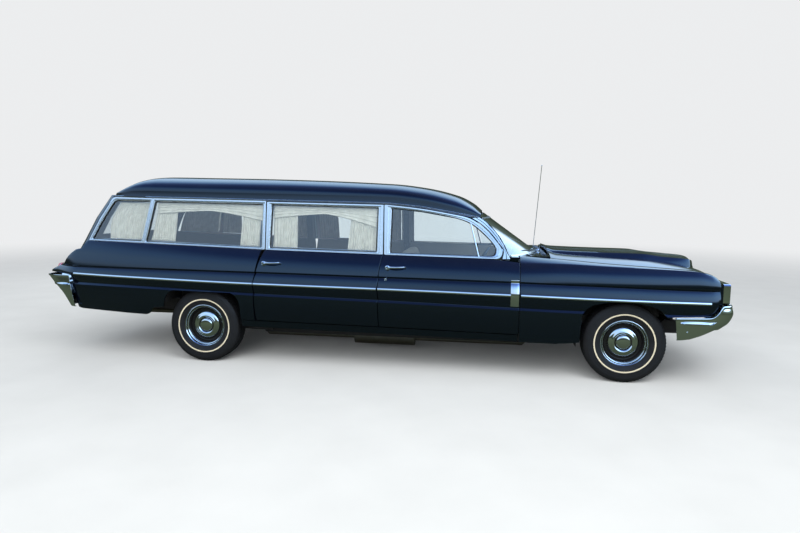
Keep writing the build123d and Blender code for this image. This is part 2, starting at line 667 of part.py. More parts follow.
# Windscreen, wrapped round its corners, between the roof and the cowl
SCREEN_THICK = 6.0


def screen_section(z, x_middle, corner_x, corner_y):
    """The glass in plan at one level."""
    outer = [(corner_x, corner_y), (x_middle, 0)]
    inner = [(corner_x - SCREEN_THICK, corner_y - SCREEN_THICK / 2), (x_middle - SCREEN_THICK, 0)]
    arcs = [ThreePointArc(corner, middle, plan_over(corner)) for corner, middle in (outer, inner)]
    caps = [Line(outer[0], inner[0]), Line(plan_over(outer[0]), plan_over(inner[0]))]
    return plan_plane(z) * make_face(arcs + caps)


windscreen = lofted([screen_section(1064, 1562, 1292, 826), screen_section(1424, 1060, 1018, 722)])
windscreen &= through(((1290, 1064), (1600, 1064), (1000, 1500), (900, 1424), (1032, 1398), (1128, 1318),
                       (1213, 1216), (1256, 1140)))
windscreen = (windscreen - roof - side_frame - other_side(side_frame)).solids().sort_by(SortBy.VOLUME)[-1]

# Cowl under the windscreen, firewall and floor, raised from the rear axle back, with wells for the wheels
FLOOR_HALF = 698.0
cowl = block(1376, 1645, -716, 716, 1034, 1062) + block(1240, 1376, -FLOOR_HALF, FLOOR_HALF, 1034, 1062)
cowl += block(1500, 1522, -716, 716, 352, 1036)
cowl -= block(1255, 1470, -660, 660, 1020, 1080)
FLOOR_LOW, FLOOR_HIGH = 352.0, 374.0
RAISED_LOW, RAISED_HIGH = 560.0, 574.0
RISER_X = -1040.0
FLOOR_END_X = -2925.0
PAN_THICK = 14.0
WELL_Y = 580.0
WELL_R = 402.0
floor = block(RISER_X - PAN_THICK, 1500, -FLOOR_HALF, FLOOR_HALF, FLOOR_LOW, FLOOR_HIGH)
floor += block(FLOOR_END_X, RISER_X, -FLOOR_HALF, FLOOR_HALF, RAISED_LOW, RAISED_HIGH)
floor += block(RISER_X - PAN_THICK, RISER_X, -FLOOR_HALF, FLOOR_HALF, FLOOR_LOW, RAISED_HIGH)
well = wheelhouse(REAR_AXLE_X, WELL_R, 1000, 600)
floor = floor - well - other_side(well)
well_wall = block(-1960, RISER_X, WELL_Y - PAN_THICK, WELL_Y, FLOOR_LOW, RAISED_LOW)
floor += well_wall + other_side(well_wall)
floor -= block(REAR_AXLE_X - 70, REAR_AXLE_X + 70, -600, 600, 340, 430)

# Ladder frame, kicked up over the rear axle and behind it, with the front suspension arms
RAIL_LINE = ((-2905, 430), (-1830, 410), (-1260, 410), (-1080, 222), (1760, 222), (1940, 268), (2520, 268),
             (2700, 370), (2900, 370))
RAIL_TALL = 116.0
RAIL_Y = 440.0
RAIL_WIDE = 62.0
CROSS_X = (-2860, -2250, -1030, -300, 500, 1300, 1780, 2800)
KINGPIN_Y = 700.0
LOWER_ARM_Z = 206.0
UPPER_ARM_Z = 474.0
ARM_THICK = 17.0


def rail_z(x):
    """The underside of the frame rails at x."""
    for (x_low, z_low), (x_high, z_high) in zip(RAIL_LINE, RAIL_LINE[1:]):
        if x <= x_high:
            return z_low + (z_high - z_low) * (x - x_low) / (x_high - x_low)


rail_outline = list(RAIL_LINE) + [(x, z + RAIL_TALL) for x, z in RAIL_LINE[::-1]]
rail = Pos(0, RAIL_Y + RAIL_WIDE / 2, 0) * extrude(side_view(rail_outline), amount=RAIL_WIDE)
inner_y = RAIL_Y - RAIL_WIDE / 2
cross_members = [block(x - 40, x + 40, -inner_y, inner_y, rail_z(x), rail_z(x) + 40) for x in CROSS_X]
for z, reach in ((LOWER_ARM_Z, 190), (UPPER_ARM_Z, 130)):
    arm = plan_plane(z) * polygon([(FRONT_AXLE_X - reach, RAIL_Y), (FRONT_AXLE_X + reach, RAIL_Y),
                                   (FRONT_AXLE_X + 30, KINGPIN_Y + 8), (FRONT_AXLE_X - 30, KINGPIN_Y + 8)])
    rail += extrude(arm, amount=ARM_THICK)
rail += block(FRONT_AXLE_X - 120, FRONT_AXLE_X + 120, inner_y, RAIL_Y + RAIL_WIDE / 2, LOWER_ARM_Z,
              UPPER_ARM_Z + ARM_THICK)

# Engine block, fuel tank, exhaust and the rear axle with its shaft
engine = block(1690, 2440, -290, 290, 392, 840)
engine += block(1540, 1700, -180, 180, 240, 640)
fuel_tank = fillet(block(-2800, -2310, -320, 320, 345, 500).edges(), 25)
PIPE = ((1640, -320, 360), (1440, -340, 190), (-1090, -340, 190), (-1290, -340, 460), (-1810, -340, 460),
        (-2080, -365, 376), (-2870, -365, 372))
exhaust = Pos(110, -340, 190) * Rot(0, 90, 0) * Cylinder(72, 600)
for start, end in zip(PIPE, PIPE[1:]):
    exhaust += rod(start, end, 24) + Pos(*end) * Sphere(24)
HUB_Y = HALF_TRACK - 10.5
SHAFT_JOINT = (-1010, 0, 296)
rear_axle = tube_y(REAR_AXLE_X, TYRE_R, 38, -HUB_Y, HUB_Y) + Pos(REAR_AXLE_X, 0, TYRE_R) * Sphere(135)
rear_axle += rod((REAR_AXLE_X, 0, TYRE_R), SHAFT_JOINT, 28) + Pos(*SHAFT_JOINT) * Sphere(28)
rear_axle += rod(SHAFT_JOINT, (1539, 0, 298), 28)
drum = tube_y(REAR_AXLE_X, TYRE_R, 138, 706, 742)
link = rod((REAR_AXLE_X, 600, 300), (-1000, 520, 270), 20)
rear_axle += drum + other_side(drum) + link + other_side(link)

# Front knuckle: an upright on its kingpin line, the stub axle and the brake drum
knuckle = block(FRONT_AXLE_X - 32, FRONT_AXLE_X + 32, KINGPIN_Y - 26, KINGPIN_Y + 26,
                LOWER_ARM_Z + ARM_THICK + 6, UPPER_ARM_Z - 6)
knuckle += tube_y(FRONT_AXLE_X, TYRE_R, 34, KINGPIN_Y, HUB_Y) + tube_y(FRONT_AXLE_X, TYRE_R, 110, 716, 742)

# Wheel and tyre profiles, as radius and offset outward from the wheel's middle plane
RIM_EDGE = 84.0


def turned(edges, axle_x):
    """A ring round the axle on the left side, from a profile in radius and outward offset."""
    profile = Plane(origin=(axle_x, HALF_TRACK, TYRE_R), x_dir=(0, 0, 1), z_dir=(-1, 0, 0)) * make_face(edges)
    return revolve(profile, Axis((axle_x, HALF_TRACK, TYRE_R), (0, 1, 0)), 360)


def tyre(axle_x):
    """Bead, round sidewall, shoulder and flat tread, mirrored about the middle plane."""
    bead, seat, lip, wide = (RIM_R + 0.3, -74), (199, -74), (199, -88), (268, -103)
    shoulder, tread = (338, -84), (TYRE_R, -66)
    near = [Line(bead, seat), Line(seat, lip), ThreePointArc(lip, (232, -100), wide),
            ThreePointArc(wide, (312, -98), shoulder), Line(shoulder, tread)]
    far = [mirror(edge, about=Plane.XZ) for edge in near]
    return turned(near + far + [Line(tread, plan_over(tread)), Line(bead, plan_over(bead))], axle_x)


WHEEL_FACE = ((0, 66), (52, 62), (58, 54), (92, 56), (124, 46), (134, 28), (148, 24), (158, 44), (176, 66),
              (194, 86), (197, 84), (197, 79), (RIM_R, 76), (RIM_R, -76), (192, -79), (192, -RIM_EDGE),
              (166, -RIM_EDGE), (164, 12), (60, 12), (56, -10), (0, -10))


def wheel(axle_x):
    """Rim, disc, trim ring and domed cap."""
    return turned([Line(a, b) for a, b in zip(WHEEL_FACE, WHEEL_FACE[1:] + WHEEL_FACE[:1])], axle_x)


# Cab: seat, dashboard and steering wheel
seat_cushion = fillet(block(330, 900, -670, 670, 400, 570).edges(), 40)
seat_back = Pos(300, 0, 760) * Rot(0, -12, 0) * fillet(Box(150, 1340, 560).edges(), 45)
seat_back -= block(100, 900, -700, 700, 300, 572)
dashboard = fillet(block(1262, 1450, -690, 690, 800, 1000).edges().filter_by(Axis.Y), 40)
WHEEL_AT = (1010, 370, 880)
steering_wheel = Torus(196, 11) + Box(22, 380, 14) + Pos(0, 0, -18) * Cylinder(34, 44)
steering_wheel = Pos(*WHEEL_AT) * Rot(0, -58, 0) * steering_wheel
steering_wheel += rod(WHEEL_AT, (1470, 370, 592), 22)

# Casket deck: a platform with rollers across it
DECK_TOP = 780.0
DECK_THICK = 24.0
DECK_HALF = 592.0
DECK_END_X = -20.0
BIER_PIN_X = (-2540, -740)
BIER_PIN_Y = 330.0
BIER_PIN_R = 9.5
ROLLER_R = 14.0
ROLLER_HALF = 240.0
ROLLER_X = (-2780, -2300, -1820, -1340, -860, -380)
deck = block(-2900, DECK_END_X, -DECK_HALF, DECK_HALF, DECK_TOP - DECK_THICK, DECK_TOP)
skirt_outline = ((-2880, RAISED_HIGH), (RISER_X, RAISED_HIGH), (RISER_X, FLOOR_HIGH), (DECK_END_X, FLOOR_HIGH),
                 (DECK_END_X, DECK_TOP - DECK_THICK), (-2880, DECK_TOP - DECK_THICK))
skirt = Pos(0, DECK_HALF, 0) * extrude(side_view(skirt_outline), amount=8)
deck += skirt + other_side(skirt)
deck += block(DECK_END_X - 20, DECK_END_X, -DECK_HALF, DECK_HALF, FLOOR_HIGH, DECK_TOP - DECK_THICK)
for x in ROLLER_X:
    deck -= block(x - 24, x + 24, -ROLLER_HALF, ROLLER_HALF, DECK_TOP - 12, DECK_TOP + 1)
    deck += tube_y(x, DECK_TOP - 6, ROLLER_R, -ROLLER_HALF, ROLLER_HALF)
for y in (-150, 150):
    deck += block(-2700, -200, y - 8, y + 8, DECK_TOP, DECK_TOP + 5)
for x in BIER_PIN_X:
    for y in (-BIER_PIN_Y, BIER_PIN_Y):
        deck -= Pos(x, y, DECK_TOP) * Cylinder(BIER_PIN_R, 80)


# Drapes inside the side windows
def drape(outline):
    """A flat leaning cloth, just inside the window frames."""
    return (along(SIDE_ROWS, window_section, -2840, 1376, 16, FRAME_THICK + 9)) & through(outline)


long_drape = drape(((-2112, 1138), (-2044, 1490), (-1032, 1476), (-1032, 1098)))
quarter_drape = drape(((-2560, 1146), (-2452, 1496), (-2096, 1492), (-2168, 1136)))
rear_drape = drape(((-872, 1096), (-872, 1472), (98, 1454), (98, 1078)))

# Tail lamps, whip aerial and door mirror
tail_lamp = extrude(Plane.YZ.offset(-3114) * Pos(704, 862) * SlotOverall(150, 62), amount=90)
tail_lamp = tail_lamp - rear_wall - quarter
AERIAL_FOOT, AERIAL_TIP = (1613, 800, 1040), (1680, 806, 1950)
aerial = Pos(*AERIAL_FOOT) * Cylinder(14, 30) + rod(AERIAL_FOOT, AERIAL_TIP, 3.2) + Pos(*AERIAL_TIP) * Sphere(6)
aerial -= fender
door_mirror = rod((1292, 862, 1012), (1286, 905, 1096), 7) + Pos(1282, 915, 1112) * Rot(0, 84, 8) * Cylinder(60, 26)
door_mirror -= nodes["front_door_left"]

add_pair("rear_quarter", quarter)
add_pair("fixed_window_frame", window_frame)
add_pair("front_fender", fender)
for axle, axle_x in (("front", FRONT_AXLE_X), ("rear", REAR_AXLE_X)):
    add_pair(f"{axle}_tyre", tyre(axle_x))
    add_pair(f"{axle}_wheel", wheel(axle_x))
add_pair("knuckle", knuckle)
add_pair("rear_door_drape", rear_drape)
nodes["side_frames"] = both(side_frame)
nodes["fixed_side_glass"] = both(fixed_glass)
nodes["fixed_drapes"] = both(long_drape, quarter_drape)
nodes["roof"] = roof
nodes["rear_wall"] = rear_wall
nodes["loading_door"] = loading_door
nodes["loading_door_glass"] = rear_pane
nodes["hood"] = hood
nodes["front_panel"] = front_panel
nodes["headlamp_bezels"] = both(bezel)
nodes["headlamps"] = both(*lamps)
nodes["tail_lamps"] = both(tail_lamp)
nodes["grille"] = grille
nodes["front_bumper"] = front_bumper
nodes["rear_bumper"] = rear_bumper
nodes["windscreen"] = windscreen
nodes["cowl"] = cowl
nodes["floor"] = floor
nodes["casket_deck"] = deck
nodes["chassis_rails"] = both(rail)
nodes["cross_members"] = Compound(children=cross_members)
nodes["engine"] = engine
nodes["fuel_tank"] = fuel_tank
nodes["exhaust"] = exhaust
nodes["rear_axle"] = rear_axle
nodes["seat_cushion"] = seat_cushion
nodes["seat_back"] = seat_back
nodes["dashboard"] = dashboard
nodes["steering_wheel"] = steering_wheel
nodes["aerial"] = aerial
nodes["door_mirror"] = door_mirror


os.makedirs("parts", exist_ok=True)
for name, shape in nodes.items():
    export_step(shape, f"parts/{name}.step")
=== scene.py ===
import json
import bpy
import bmesh
import numpy as np
from math import cos, radians, sin, pi
from mathutils import Matrix, Vector


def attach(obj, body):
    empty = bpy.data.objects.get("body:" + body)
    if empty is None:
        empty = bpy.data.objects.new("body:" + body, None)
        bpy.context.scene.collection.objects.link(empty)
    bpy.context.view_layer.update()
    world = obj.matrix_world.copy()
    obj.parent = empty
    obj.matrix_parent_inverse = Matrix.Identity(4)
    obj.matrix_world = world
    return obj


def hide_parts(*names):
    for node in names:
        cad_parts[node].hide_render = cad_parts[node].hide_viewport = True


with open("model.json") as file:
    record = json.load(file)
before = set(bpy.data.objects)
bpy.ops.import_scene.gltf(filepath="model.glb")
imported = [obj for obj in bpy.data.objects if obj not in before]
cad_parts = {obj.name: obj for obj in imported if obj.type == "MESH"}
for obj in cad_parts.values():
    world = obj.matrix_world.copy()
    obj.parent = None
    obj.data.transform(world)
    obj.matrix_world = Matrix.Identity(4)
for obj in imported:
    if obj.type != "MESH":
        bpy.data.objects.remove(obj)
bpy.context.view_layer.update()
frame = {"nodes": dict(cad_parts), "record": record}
MM = 0.001
SIDES = {"left": 1.0, "right": -1.0}

# Camera and studio.
# The photograph was taken at standing height beside the front door, with a slightly tilted wide lens.
# Three large soft lamps light it over a pale floor, and a sky that only glossy rays see lights the paint.
CAMERA_AT = Vector((1.0833, -5.9142, 1.5236))
CAMERA_YAW = -0.1479
CAMERA_PITCH = 0.1105
CAMERA_ROLL = 0.0093
CAMERA_LENS = 25.97


def camera_axes():
    """Right, up and view directions: yaw about Z from +Y, then pitch down, then roll about the view line."""
    flat = cos(CAMERA_PITCH)
    look = Vector((sin(CAMERA_YAW) * flat, cos(CAMERA_YAW) * flat, -sin(CAMERA_PITCH)))
    level = Vector((cos(CAMERA_YAW), -sin(CAMERA_YAW), 0))
    upright = level.cross(look)
    right = level * cos(CAMERA_ROLL) + upright * sin(CAMERA_ROLL)
    up = upright * cos(CAMERA_ROLL) - level * sin(CAMERA_ROLL)
    return right, up, look


camera_data = bpy.data.cameras.new("camera")
camera_data.lens = CAMERA_LENS
camera_data.sensor_width = 36
camera_data.clip_end = 200
camera = bpy.data.objects.new("camera", camera_data)
bpy.context.collection.objects.link(camera)
right, up, look = camera_axes()
camera.matrix_world = Matrix.Translation(CAMERA_AT) @ Matrix((right, up, -look)).transposed().to_4x4()
bpy.context.scene.camera = camera
bpy.context.scene.view_settings.view_transform = "Standard"


def new_material(name):
    """An empty node material, its node tree and its output node."""
    material = bpy.data.materials.new(name)
    material.use_nodes = True
    tree = material.node_tree
    tree.nodes.clear()
    output = tree.nodes.new("ShaderNodeOutputMaterial")
    return material, tree, output


def node(tree, kind, inputs=None, **settings):
    """Adds a node, sets its properties, and links or sets the inputs named."""
    made = tree.nodes.new(kind)
    for key, value in settings.items():
        setattr(made, key, value)
    for key, value in (inputs or {}).items():
        if isinstance(value, bpy.types.NodeSocket):
            tree.links.new(value, made.inputs[key])
        else:
            made.inputs[key].default_value = value
    return made


def principled(tree, output, **inputs):
    """The surface shader, wired to the output. Underscores in a name stand for spaces."""
    named = {key.replace("_", " "): value for key, value in inputs.items()}
    shader = node(tree, "ShaderNodeBsdfPrincipled", named)
    tree.links.new(shader.outputs[0], output.inputs["Surface"])
    return shader


def arithmetic(tree, operation, *values):
    """One step of arithmetic on numbers or sockets."""
    return node(tree, "ShaderNodeMath", dict(enumerate(values)), operation=operation).outputs[0]


def two_tones(tree, value, low, high, start=0.0, end=1.0):
    """A colour that runs from low to high while the value runs from start to end."""
    ramp = node(tree, "ShaderNodeValToRGB", {"Fac": value})
    for stop, place, colour in zip(ramp.color_ramp.elements, (start, end), (low, high)):
        stop.position, stop.color = place, (*colour, 1)
    return ramp.outputs["Color"]


def either(tree, share, first, second):
    """One shader where share is 0 and another where it is 1."""
    return node(tree, "ShaderNodeMixShader", {0: share, 1: first.outputs[0], 2: second.outputs[0]})


BACKDROP = (0.84, 0.85, 0.86, 1)
STUDIO = (0.90, 0.94, 1.0, 1)
STUDIO_STRENGTH = 0.75
# What glossy surfaces see, from the floor up. Columns: height, then red, green and blue
SKY = ((0.0, 0.03, 0.04, 0.03), (0.14, 0.05, 0.07, 0.06), (0.21, 0.46, 0.62, 0.82), (0.32, 0.46, 0.68, 0.98),
       (0.46, 0.46, 0.70, 1.0), (0.63, 0.30, 0.54, 0.95), (0.80, 0.08, 0.16, 0.46), (1.0, 0.05, 0.09, 0.28))
SKY_STRENGTH = 1.2
SKY_AHEAD = 2.4
DARK_BAND_RISE = 0.08


def world_light():
    """A pale even studio, and a sky over a dark band at the horizon for glossy surfaces.

    The sky's height is Z less a share of Y, so that the band is taller on the far side, and its strength
    rises with X.
    """
    world = bpy.data.worlds.new("studio")
    bpy.context.scene.world = world
    world.use_nodes = True
    tree = world.node_tree
    tree.nodes.clear()
    output = tree.nodes.new("ShaderNodeOutputWorld")
    direction = node(tree, "ShaderNodeTexCoord").outputs["Generated"]
    axes = node(tree, "ShaderNodeSeparateXYZ", {0: direction}).outputs
    far_side = arithmetic(tree, "MAXIMUM", axes["Y"], 0.0)
    height = arithmetic(tree, "SUBTRACT", axes["Z"], arithmetic(tree, "MULTIPLY", far_side, DARK_BAND_RISE))
    colour = two_tones(tree, height, SKY[0][1:], SKY[-1][1:])
    for place, *tone in SKY[1:-1]:
        colour.node.color_ramp.elements.new(place).color = (*tone, 1)
    ahead = arithmetic(tree, "MAXIMUM", axes["X"], 0.0)
    bright = arithmetic(tree, "MULTIPLY_ADD", ahead, SKY_AHEAD, SKY_STRENGTH)
    sky = node(tree, "ShaderNodeBackground", {"Color": colour, "Strength": bright})
    studio = node(tree, "ShaderNodeBackground", {"Color": STUDIO, "Strength": STUDIO_STRENGTH})
    backdrop = node(tree, "ShaderNodeBackground", {"Color": BACKDROP, "Strength": 1.0})
    paths = node(tree, "ShaderNodeLightPath").outputs
    lit = either(tree, paths["Is Glossy Ray"], studio, sky)
    tree.links.new(either(tree, paths["Is Camera Ray"], lit, backdrop).outputs[0], output.inputs["Surface"])


FADE_FROM = 6.0
FADE_TO = 20.0


def floor_material():
    """Matt pale floor that fades into the backdrop by a smooth step of distance, and dark to glossy rays."""
    material, tree, output = new_material("studio_floor")
    place = node(tree, "ShaderNodeTexCoord").outputs["Object"]
    mottle = node(tree, "ShaderNodeTexNoise", {"Vector": place, "Scale": 2.0, "Detail": 4.0}).outputs["Fac"]
    tone = two_tones(tree, mottle, (0.60, 0.61, 0.60), (0.68, 0.69, 0.68))
    near = node(tree, "ShaderNodeBsdfDiffuse", {"Color": tone, "Roughness": 0.6})
    far = node(tree, "ShaderNodeEmission", {"Color": BACKDROP})
    dark = node(tree, "ShaderNodeBsdfDiffuse", {"Color": (0.065, 0.085, 0.055, 1)})
    away = node(tree, "ShaderNodeVectorMath", {0: place}, operation="LENGTH").outputs["Value"]
    fade = node(tree, "ShaderNodeMapRange", {"Value": away, "From Min": FADE_FROM, "From Max": FADE_TO},
                interpolation_type="SMOOTHSTEP")
    plain = either(tree, fade.outputs["Result"], near, far)
    glossy_ray = node(tree, "ShaderNodeLightPath").outputs["Is Glossy Ray"]
    tree.links.new(either(tree, glossy_ray, plain, dark).outputs[0], output.inputs["Surface"])
    return material


world_light()
FLOOR_HALF = 60
floor_corners = [(x * FLOOR_HALF, y * FLOOR_HALF, 0) for x, y in ((-1, -1), (1, -1), (1, 1), (-1, 1))]
floor_mesh = bpy.data.meshes.new("studio_floor")
floor_mesh.from_pydata(floor_corners, [], [(0, 1, 2, 3)])
floor_mesh.materials.append(floor_material())
studio_floor = bpy.data.objects.new("studio_floor", floor_mesh)
bpy.context.collection.objects.link(studio_floor)

# Columns: name, place, size, watts. Glossy rays don't see them
LAMP_ROWS = (("key", (3.5, -5.5, 6.5), 5.0, 300), ("back", (-4.0, 5.5, 6.0), 5.0, 240),
             ("fill", (-1.0, -9.0, 5.0), 6.0, 330))
LIT_AT = Vector((0, 0, 0.8))
for name, at, size, power in LAMP_ROWS:
    lamp_data = bpy.data.lights.new(name, "AREA")
    lamp_data.size = size
    lamp_data.energy = power
    lamp = bpy.data.objects.new(name, lamp_data)
    bpy.context.collection.objects.link(lamp)
    lamp.visible_glossy = False
    aim = (LIT_AT - Vector(at)).to_track_quat("-Z", "Y").to_matrix().to_4x4()
    lamp.matrix_world = Matrix.Translation(at) @ aim

# Paint, bright metal and glass.
# Gloss black cellulose, anodised window frames, chromed bumpers, tinted safety glass and black rubber.


def fine_waves():
    """Shared effect: a faint uneven surface, as a normal. Used by paint, chrome and anodised trim."""
    group = bpy.data.node_groups.new("fine_waves", "ShaderNodeTree")
    for label, kind, value in (("Scale", "NodeSocketFloat", 6.0), ("Depth", "NodeSocketFloat", 0.0005)):
        group.interface.new_socket(label, in_out="INPUT", socket_type=kind).default_value = value
    group.interface.new_socket("Normal", in_out="OUTPUT", socket_type="NodeSocketVector")
    group.interface.new_socket("Mask", in_out="OUTPUT", socket_type="NodeSocketFloat")
    enter, leave = group.nodes.new("NodeGroupInput"), group.nodes.new("NodeGroupOutput")
    place = node(group, "ShaderNodeTexCoord").outputs["Object"]
    noise = node(group, "ShaderNodeTexNoise",
                 {"Vector": place, "Scale": enter.outputs["Scale"], "Detail": 3.0})
    bump = node(group, "ShaderNodeBump",
                {"Height": noise.outputs["Fac"], "Distance": enter.outputs["Depth"], "Strength": 1.0})
    group.links.new(bump.outputs["Normal"], leave.inputs["Normal"])
    group.links.new(noise.outputs["Fac"], leave.inputs["Mask"])
    return group


waves_group = fine_waves()


def waves(tree, scale, depth):
    """The outputs of fine_waves in a material: Normal and Mask."""
    return node(tree, "ShaderNodeGroup", {"Scale": scale, "Depth": depth}, node_tree=waves_group).outputs


def varied(tree, mask, low, high):
    """A value that runs from low to high with a mask."""
    return node(tree, "ShaderNodeMapRange", {"Value": mask, "To Min": low, "To Max": high}).outputs["Result"]


def plain_metal(name, colour, roughness, scale=14.0, depth=0.0002, spread=0.08, metallic=1.0):
    """A metal whose polish varies a little from place to place."""
    material, tree, output = new_material(name)
    made = waves(tree, scale, depth)
    rough = varied(tree, made["Mask"], roughness, roughness + spread)
    principled(tree, output, Base_Color=(*colour, 1), Metallic=metallic, Roughness=rough,
               Normal=made["Normal"])
    return material


def black_paint():
    """Black with a blue cast under a clear coat, slight orange peel, and a film of dust where it faces up."""
    material, tree, output = new_material("black_paint")
    peel = waves(tree, 9.0, 0.0004)
    facing = node(tree, "ShaderNodeSeparateXYZ", {0: node(tree, "ShaderNodeNewGeometry").outputs["Normal"]})
    level = node(tree, "ShaderNodeMapRange", {"Value": facing.outputs["Z"], "From Min": 0.5, "To Max": 0.05})
    film = arithmetic(tree, "MULTIPLY", level.outputs["Result"], peel["Mask"])
    colour = two_tones(tree, film, (0.0014, 0.0022, 0.0052), (0.24, 0.24, 0.23))
    principled(tree, output, Base_Color=colour, Roughness=varied(tree, peel["Mask"], 0.10, 0.22),
               Specular_IOR_Level=0.5, Specular_Tint=(0.25, 0.6, 1.0, 1), Coat_Weight=1.0,
               Coat_Roughness=0.03, Normal=peel["Normal"])
    return material


# How many times over the outer faces mirror, to make up for the inner faces, which don't
GLASS_MIRROR = 3.6


def clear_glass(name, tint, roughness=0.0):
    """Thin glass that lets light straight through and still mirrors at a slant, on its outer faces only."""
    material, tree, output = new_material(name)
    smear = varied(tree, waves(tree, 3.0, 0.0)["Mask"], roughness, roughness + 0.02)
    clear = node(tree, "ShaderNodeBsdfTransparent", {"Color": (*tint, 1)})
    shine = node(tree, "ShaderNodeBsdfGlossy", {"Color": (1, 1, 1, 1), "Roughness": smear})
    edge = node(tree, "ShaderNodeFresnel", {"IOR": 1.5}).outputs[0]
    inside = node(tree, "ShaderNodeNewGeometry").outputs["Backfacing"]
    mirror = arithmetic(tree, "MULTIPLY", arithmetic(tree, "SUBTRACT", 1.0, inside), GLASS_MIRROR)
    amount = arithmetic(tree, "MULTIPLY", edge, mirror)
    tree.links.new(either(tree, amount, clear, shine).outputs[0], output.inputs["Surface"])
    return material


def matt(name, colour, roughness, scale=40.0, depth=0.0006, spread=0.5):
    """A dull surface such as rubber, underseal or grained plastic, with a broken tone."""
    material, tree, output = new_material(name)
    made = waves(tree, scale, depth)
    light = tuple(min(1.0, part * (1 + spread)) for part in colour)
    tone = two_tones(tree, made["Mask"], colour, light)
    principled(tree, output, Base_Color=tone, Roughness=roughness, Normal=made["Normal"])
    return material


PAINT = black_paint()
BRIGHT = plain_metal("bright_frame", (0.90, 0.92, 0.94), 0.16)
CHROME = plain_metal("chrome", (0.88, 0.89, 0.90), 0.03, scale=6.0, depth=0.0004, spread=0.05)
GLASS = clear_glass("window_glass", (0.95, 0.98, 0.98))
RUBBER = matt("black_rubber", (0.012, 0.012, 0.013), 0.55)
UNDER = matt("underseal", (0.018, 0.018, 0.018), 0.8, scale=25.0, depth=0.003)

# Side panels of the body.
# Pressed steel, painted: two doors a side and a rear quarter, with a rolled crease under the windows,
# a swelling that carries the bright spear, and a ledge above the tucked-in sill.
SIDE_COLUMNS = ("x", "drip_y", "drip_z", "belt_y", "belt_z", "crease_z", "wide_y", "wide_z", "step_z",
                "foot_z")
SIDE_ROWS = (
    (-3175, 640, 1570, 720, 1134, 900, 790, 826, 716, 470),
    (-2840, 700, 1570, 800, 1132, 897, 925, 815, 711, 468),
    (-2100, 758, 1553, 838, 1115, 893, 966, 797, 697, 446),
    (-1000, 765, 1537, 850, 1081, 887, 985, 776, 667, 434),
    (180, 765, 1518, 855, 1059, 876, 990, 765, 646, 422),
    (500, 762, 1489, 856, 1053, 873, 990, 761, 639, 417),
    (800, 753, 1438, 856, 1047, 870, 990, 757, 632, 413),
    (960, 744, 1409, 857, 1044, 868, 990, 754, 628, 410),
    (1100, 736, 1390, 858, 1041, 867, 990, 751, 625, 408),
    (1376, 768, 1300, 868, 1016, 864, 990, 747, 619, 404),
)
CREASE_IN = 25
CREASE_DEEP = 13
STEP_IN = 12
FOOT_IN = 46
DOOR_INNER_Y = 800
GAP = 6
CUT_SLOPE = 0.23
CUT_Y = 1000
REAR_CUT = ((380, -1006), (776, -1009), (1080, -966), (1600, -997))
MIDDLE_CUT = ((380, 143), (1060, 143), (1600, 107))
FRONT_CUT = ((380, 1379), (1600, 1379))


def hermite(knots, values, x):
    """Cubic pieces through the values at the knots, each slope the harmonic mean of its two sides' slopes."""
    knots, values = np.asarray(knots, float), np.asarray(values, float)
    width = np.diff(knots).reshape(-1, *[1] * (values.ndim - 1))
    slope = np.diff(values, axis=0) / width
    product = slope[:-1] * slope[1:]
    middle = np.where(product > 0, 2 * product / np.where(product > 0, slope[:-1] + slope[1:], 1), 0)
    tangent = np.concatenate([slope[:1], middle, slope[-1:]])
    k = np.clip(np.searchsorted(knots, x) - 1, 0, len(knots) - 2)
    shape = np.shape(x) + (1,) * (values.ndim - 1)
    t = np.reshape(np.clip((x - knots[k]) / np.diff(knots)[k], 0, 1), shape)
    return ((1 + 2 * t) * (1 - t) ** 2 * values[k] + t * t * (3 - 2 * t) * values[k + 1]
            + t * (1 - t) ** 2 * width[k] * tangent[k] - t * t * (1 - t) * width[k] * tangent[k + 1])


def smooth_column(rows, columns, name, x):
    """One column of a table at every x."""
    table = np.array(rows, float)
    return hermite(table[:, 0], table[:, columns.index(name)], x)


def bow(start, end, rise, count):
    """Points from start to end, lifted by rise · 4f(1 − f) to the left of the way, f from 0 to 1."""
    f = np.linspace(0, 1, count)[:, None]
    across, over = end[0] - start[0], end[1] - start[1]
    length = np.hypot(across, over)
    lift = 4 * rise * f * (1 - f) / length
    return start[0] + f * across - lift * over, start[1] + f * over + lift * across


def joined(*stretches):
    """Stretches of a section end to end, each point that two share kept once."""
    return [np.concatenate([stretch[axis][min(k, 1):] for k, stretch in enumerate(stretches)])
            for axis in (0, 1)]


def flank(x, rows, columns):
    """The side from its crease down to the sill's edge, as rows of y and z: crease, spear, ledge, foot."""
    crease_z, wide_y, wide_z, step_z, foot_z = (
        smooth_column(rows, columns, name, x) for name in columns[-5:])
    crease = (wide_y - CREASE_IN, crease_z)
    recess = (wide_y - CREASE_IN - CREASE_DEEP, crease_z - 15)
    wide = (wide_y, wide_z)
    tuck = (wide_y - STEP_IN - 14, step_z + 18)
    ledge = (wide_y - STEP_IN, step_z)
    foot = (wide_y - FOOT_IN, foot_z)
    return crease, joined(bow(crease, recess, 1.5, 5), bow(recess, wide, 7, 9), bow(wide, tuck, 4, 10),
                          bow(tuck, ledge, 0, 3), bow(ledge, foot, 9, 16))


def side_rows(x):
    """The whole side below the windows, as rows of y and z."""
    belt = [smooth_column(SIDE_ROWS, SIDE_COLUMNS, name, x) for name in ("belt_y", "belt_z")]
    crease, below = flank(x, SIDE_ROWS, SIDE_COLUMNS)
    return joined(bow(belt, crease, 16, 18), below)


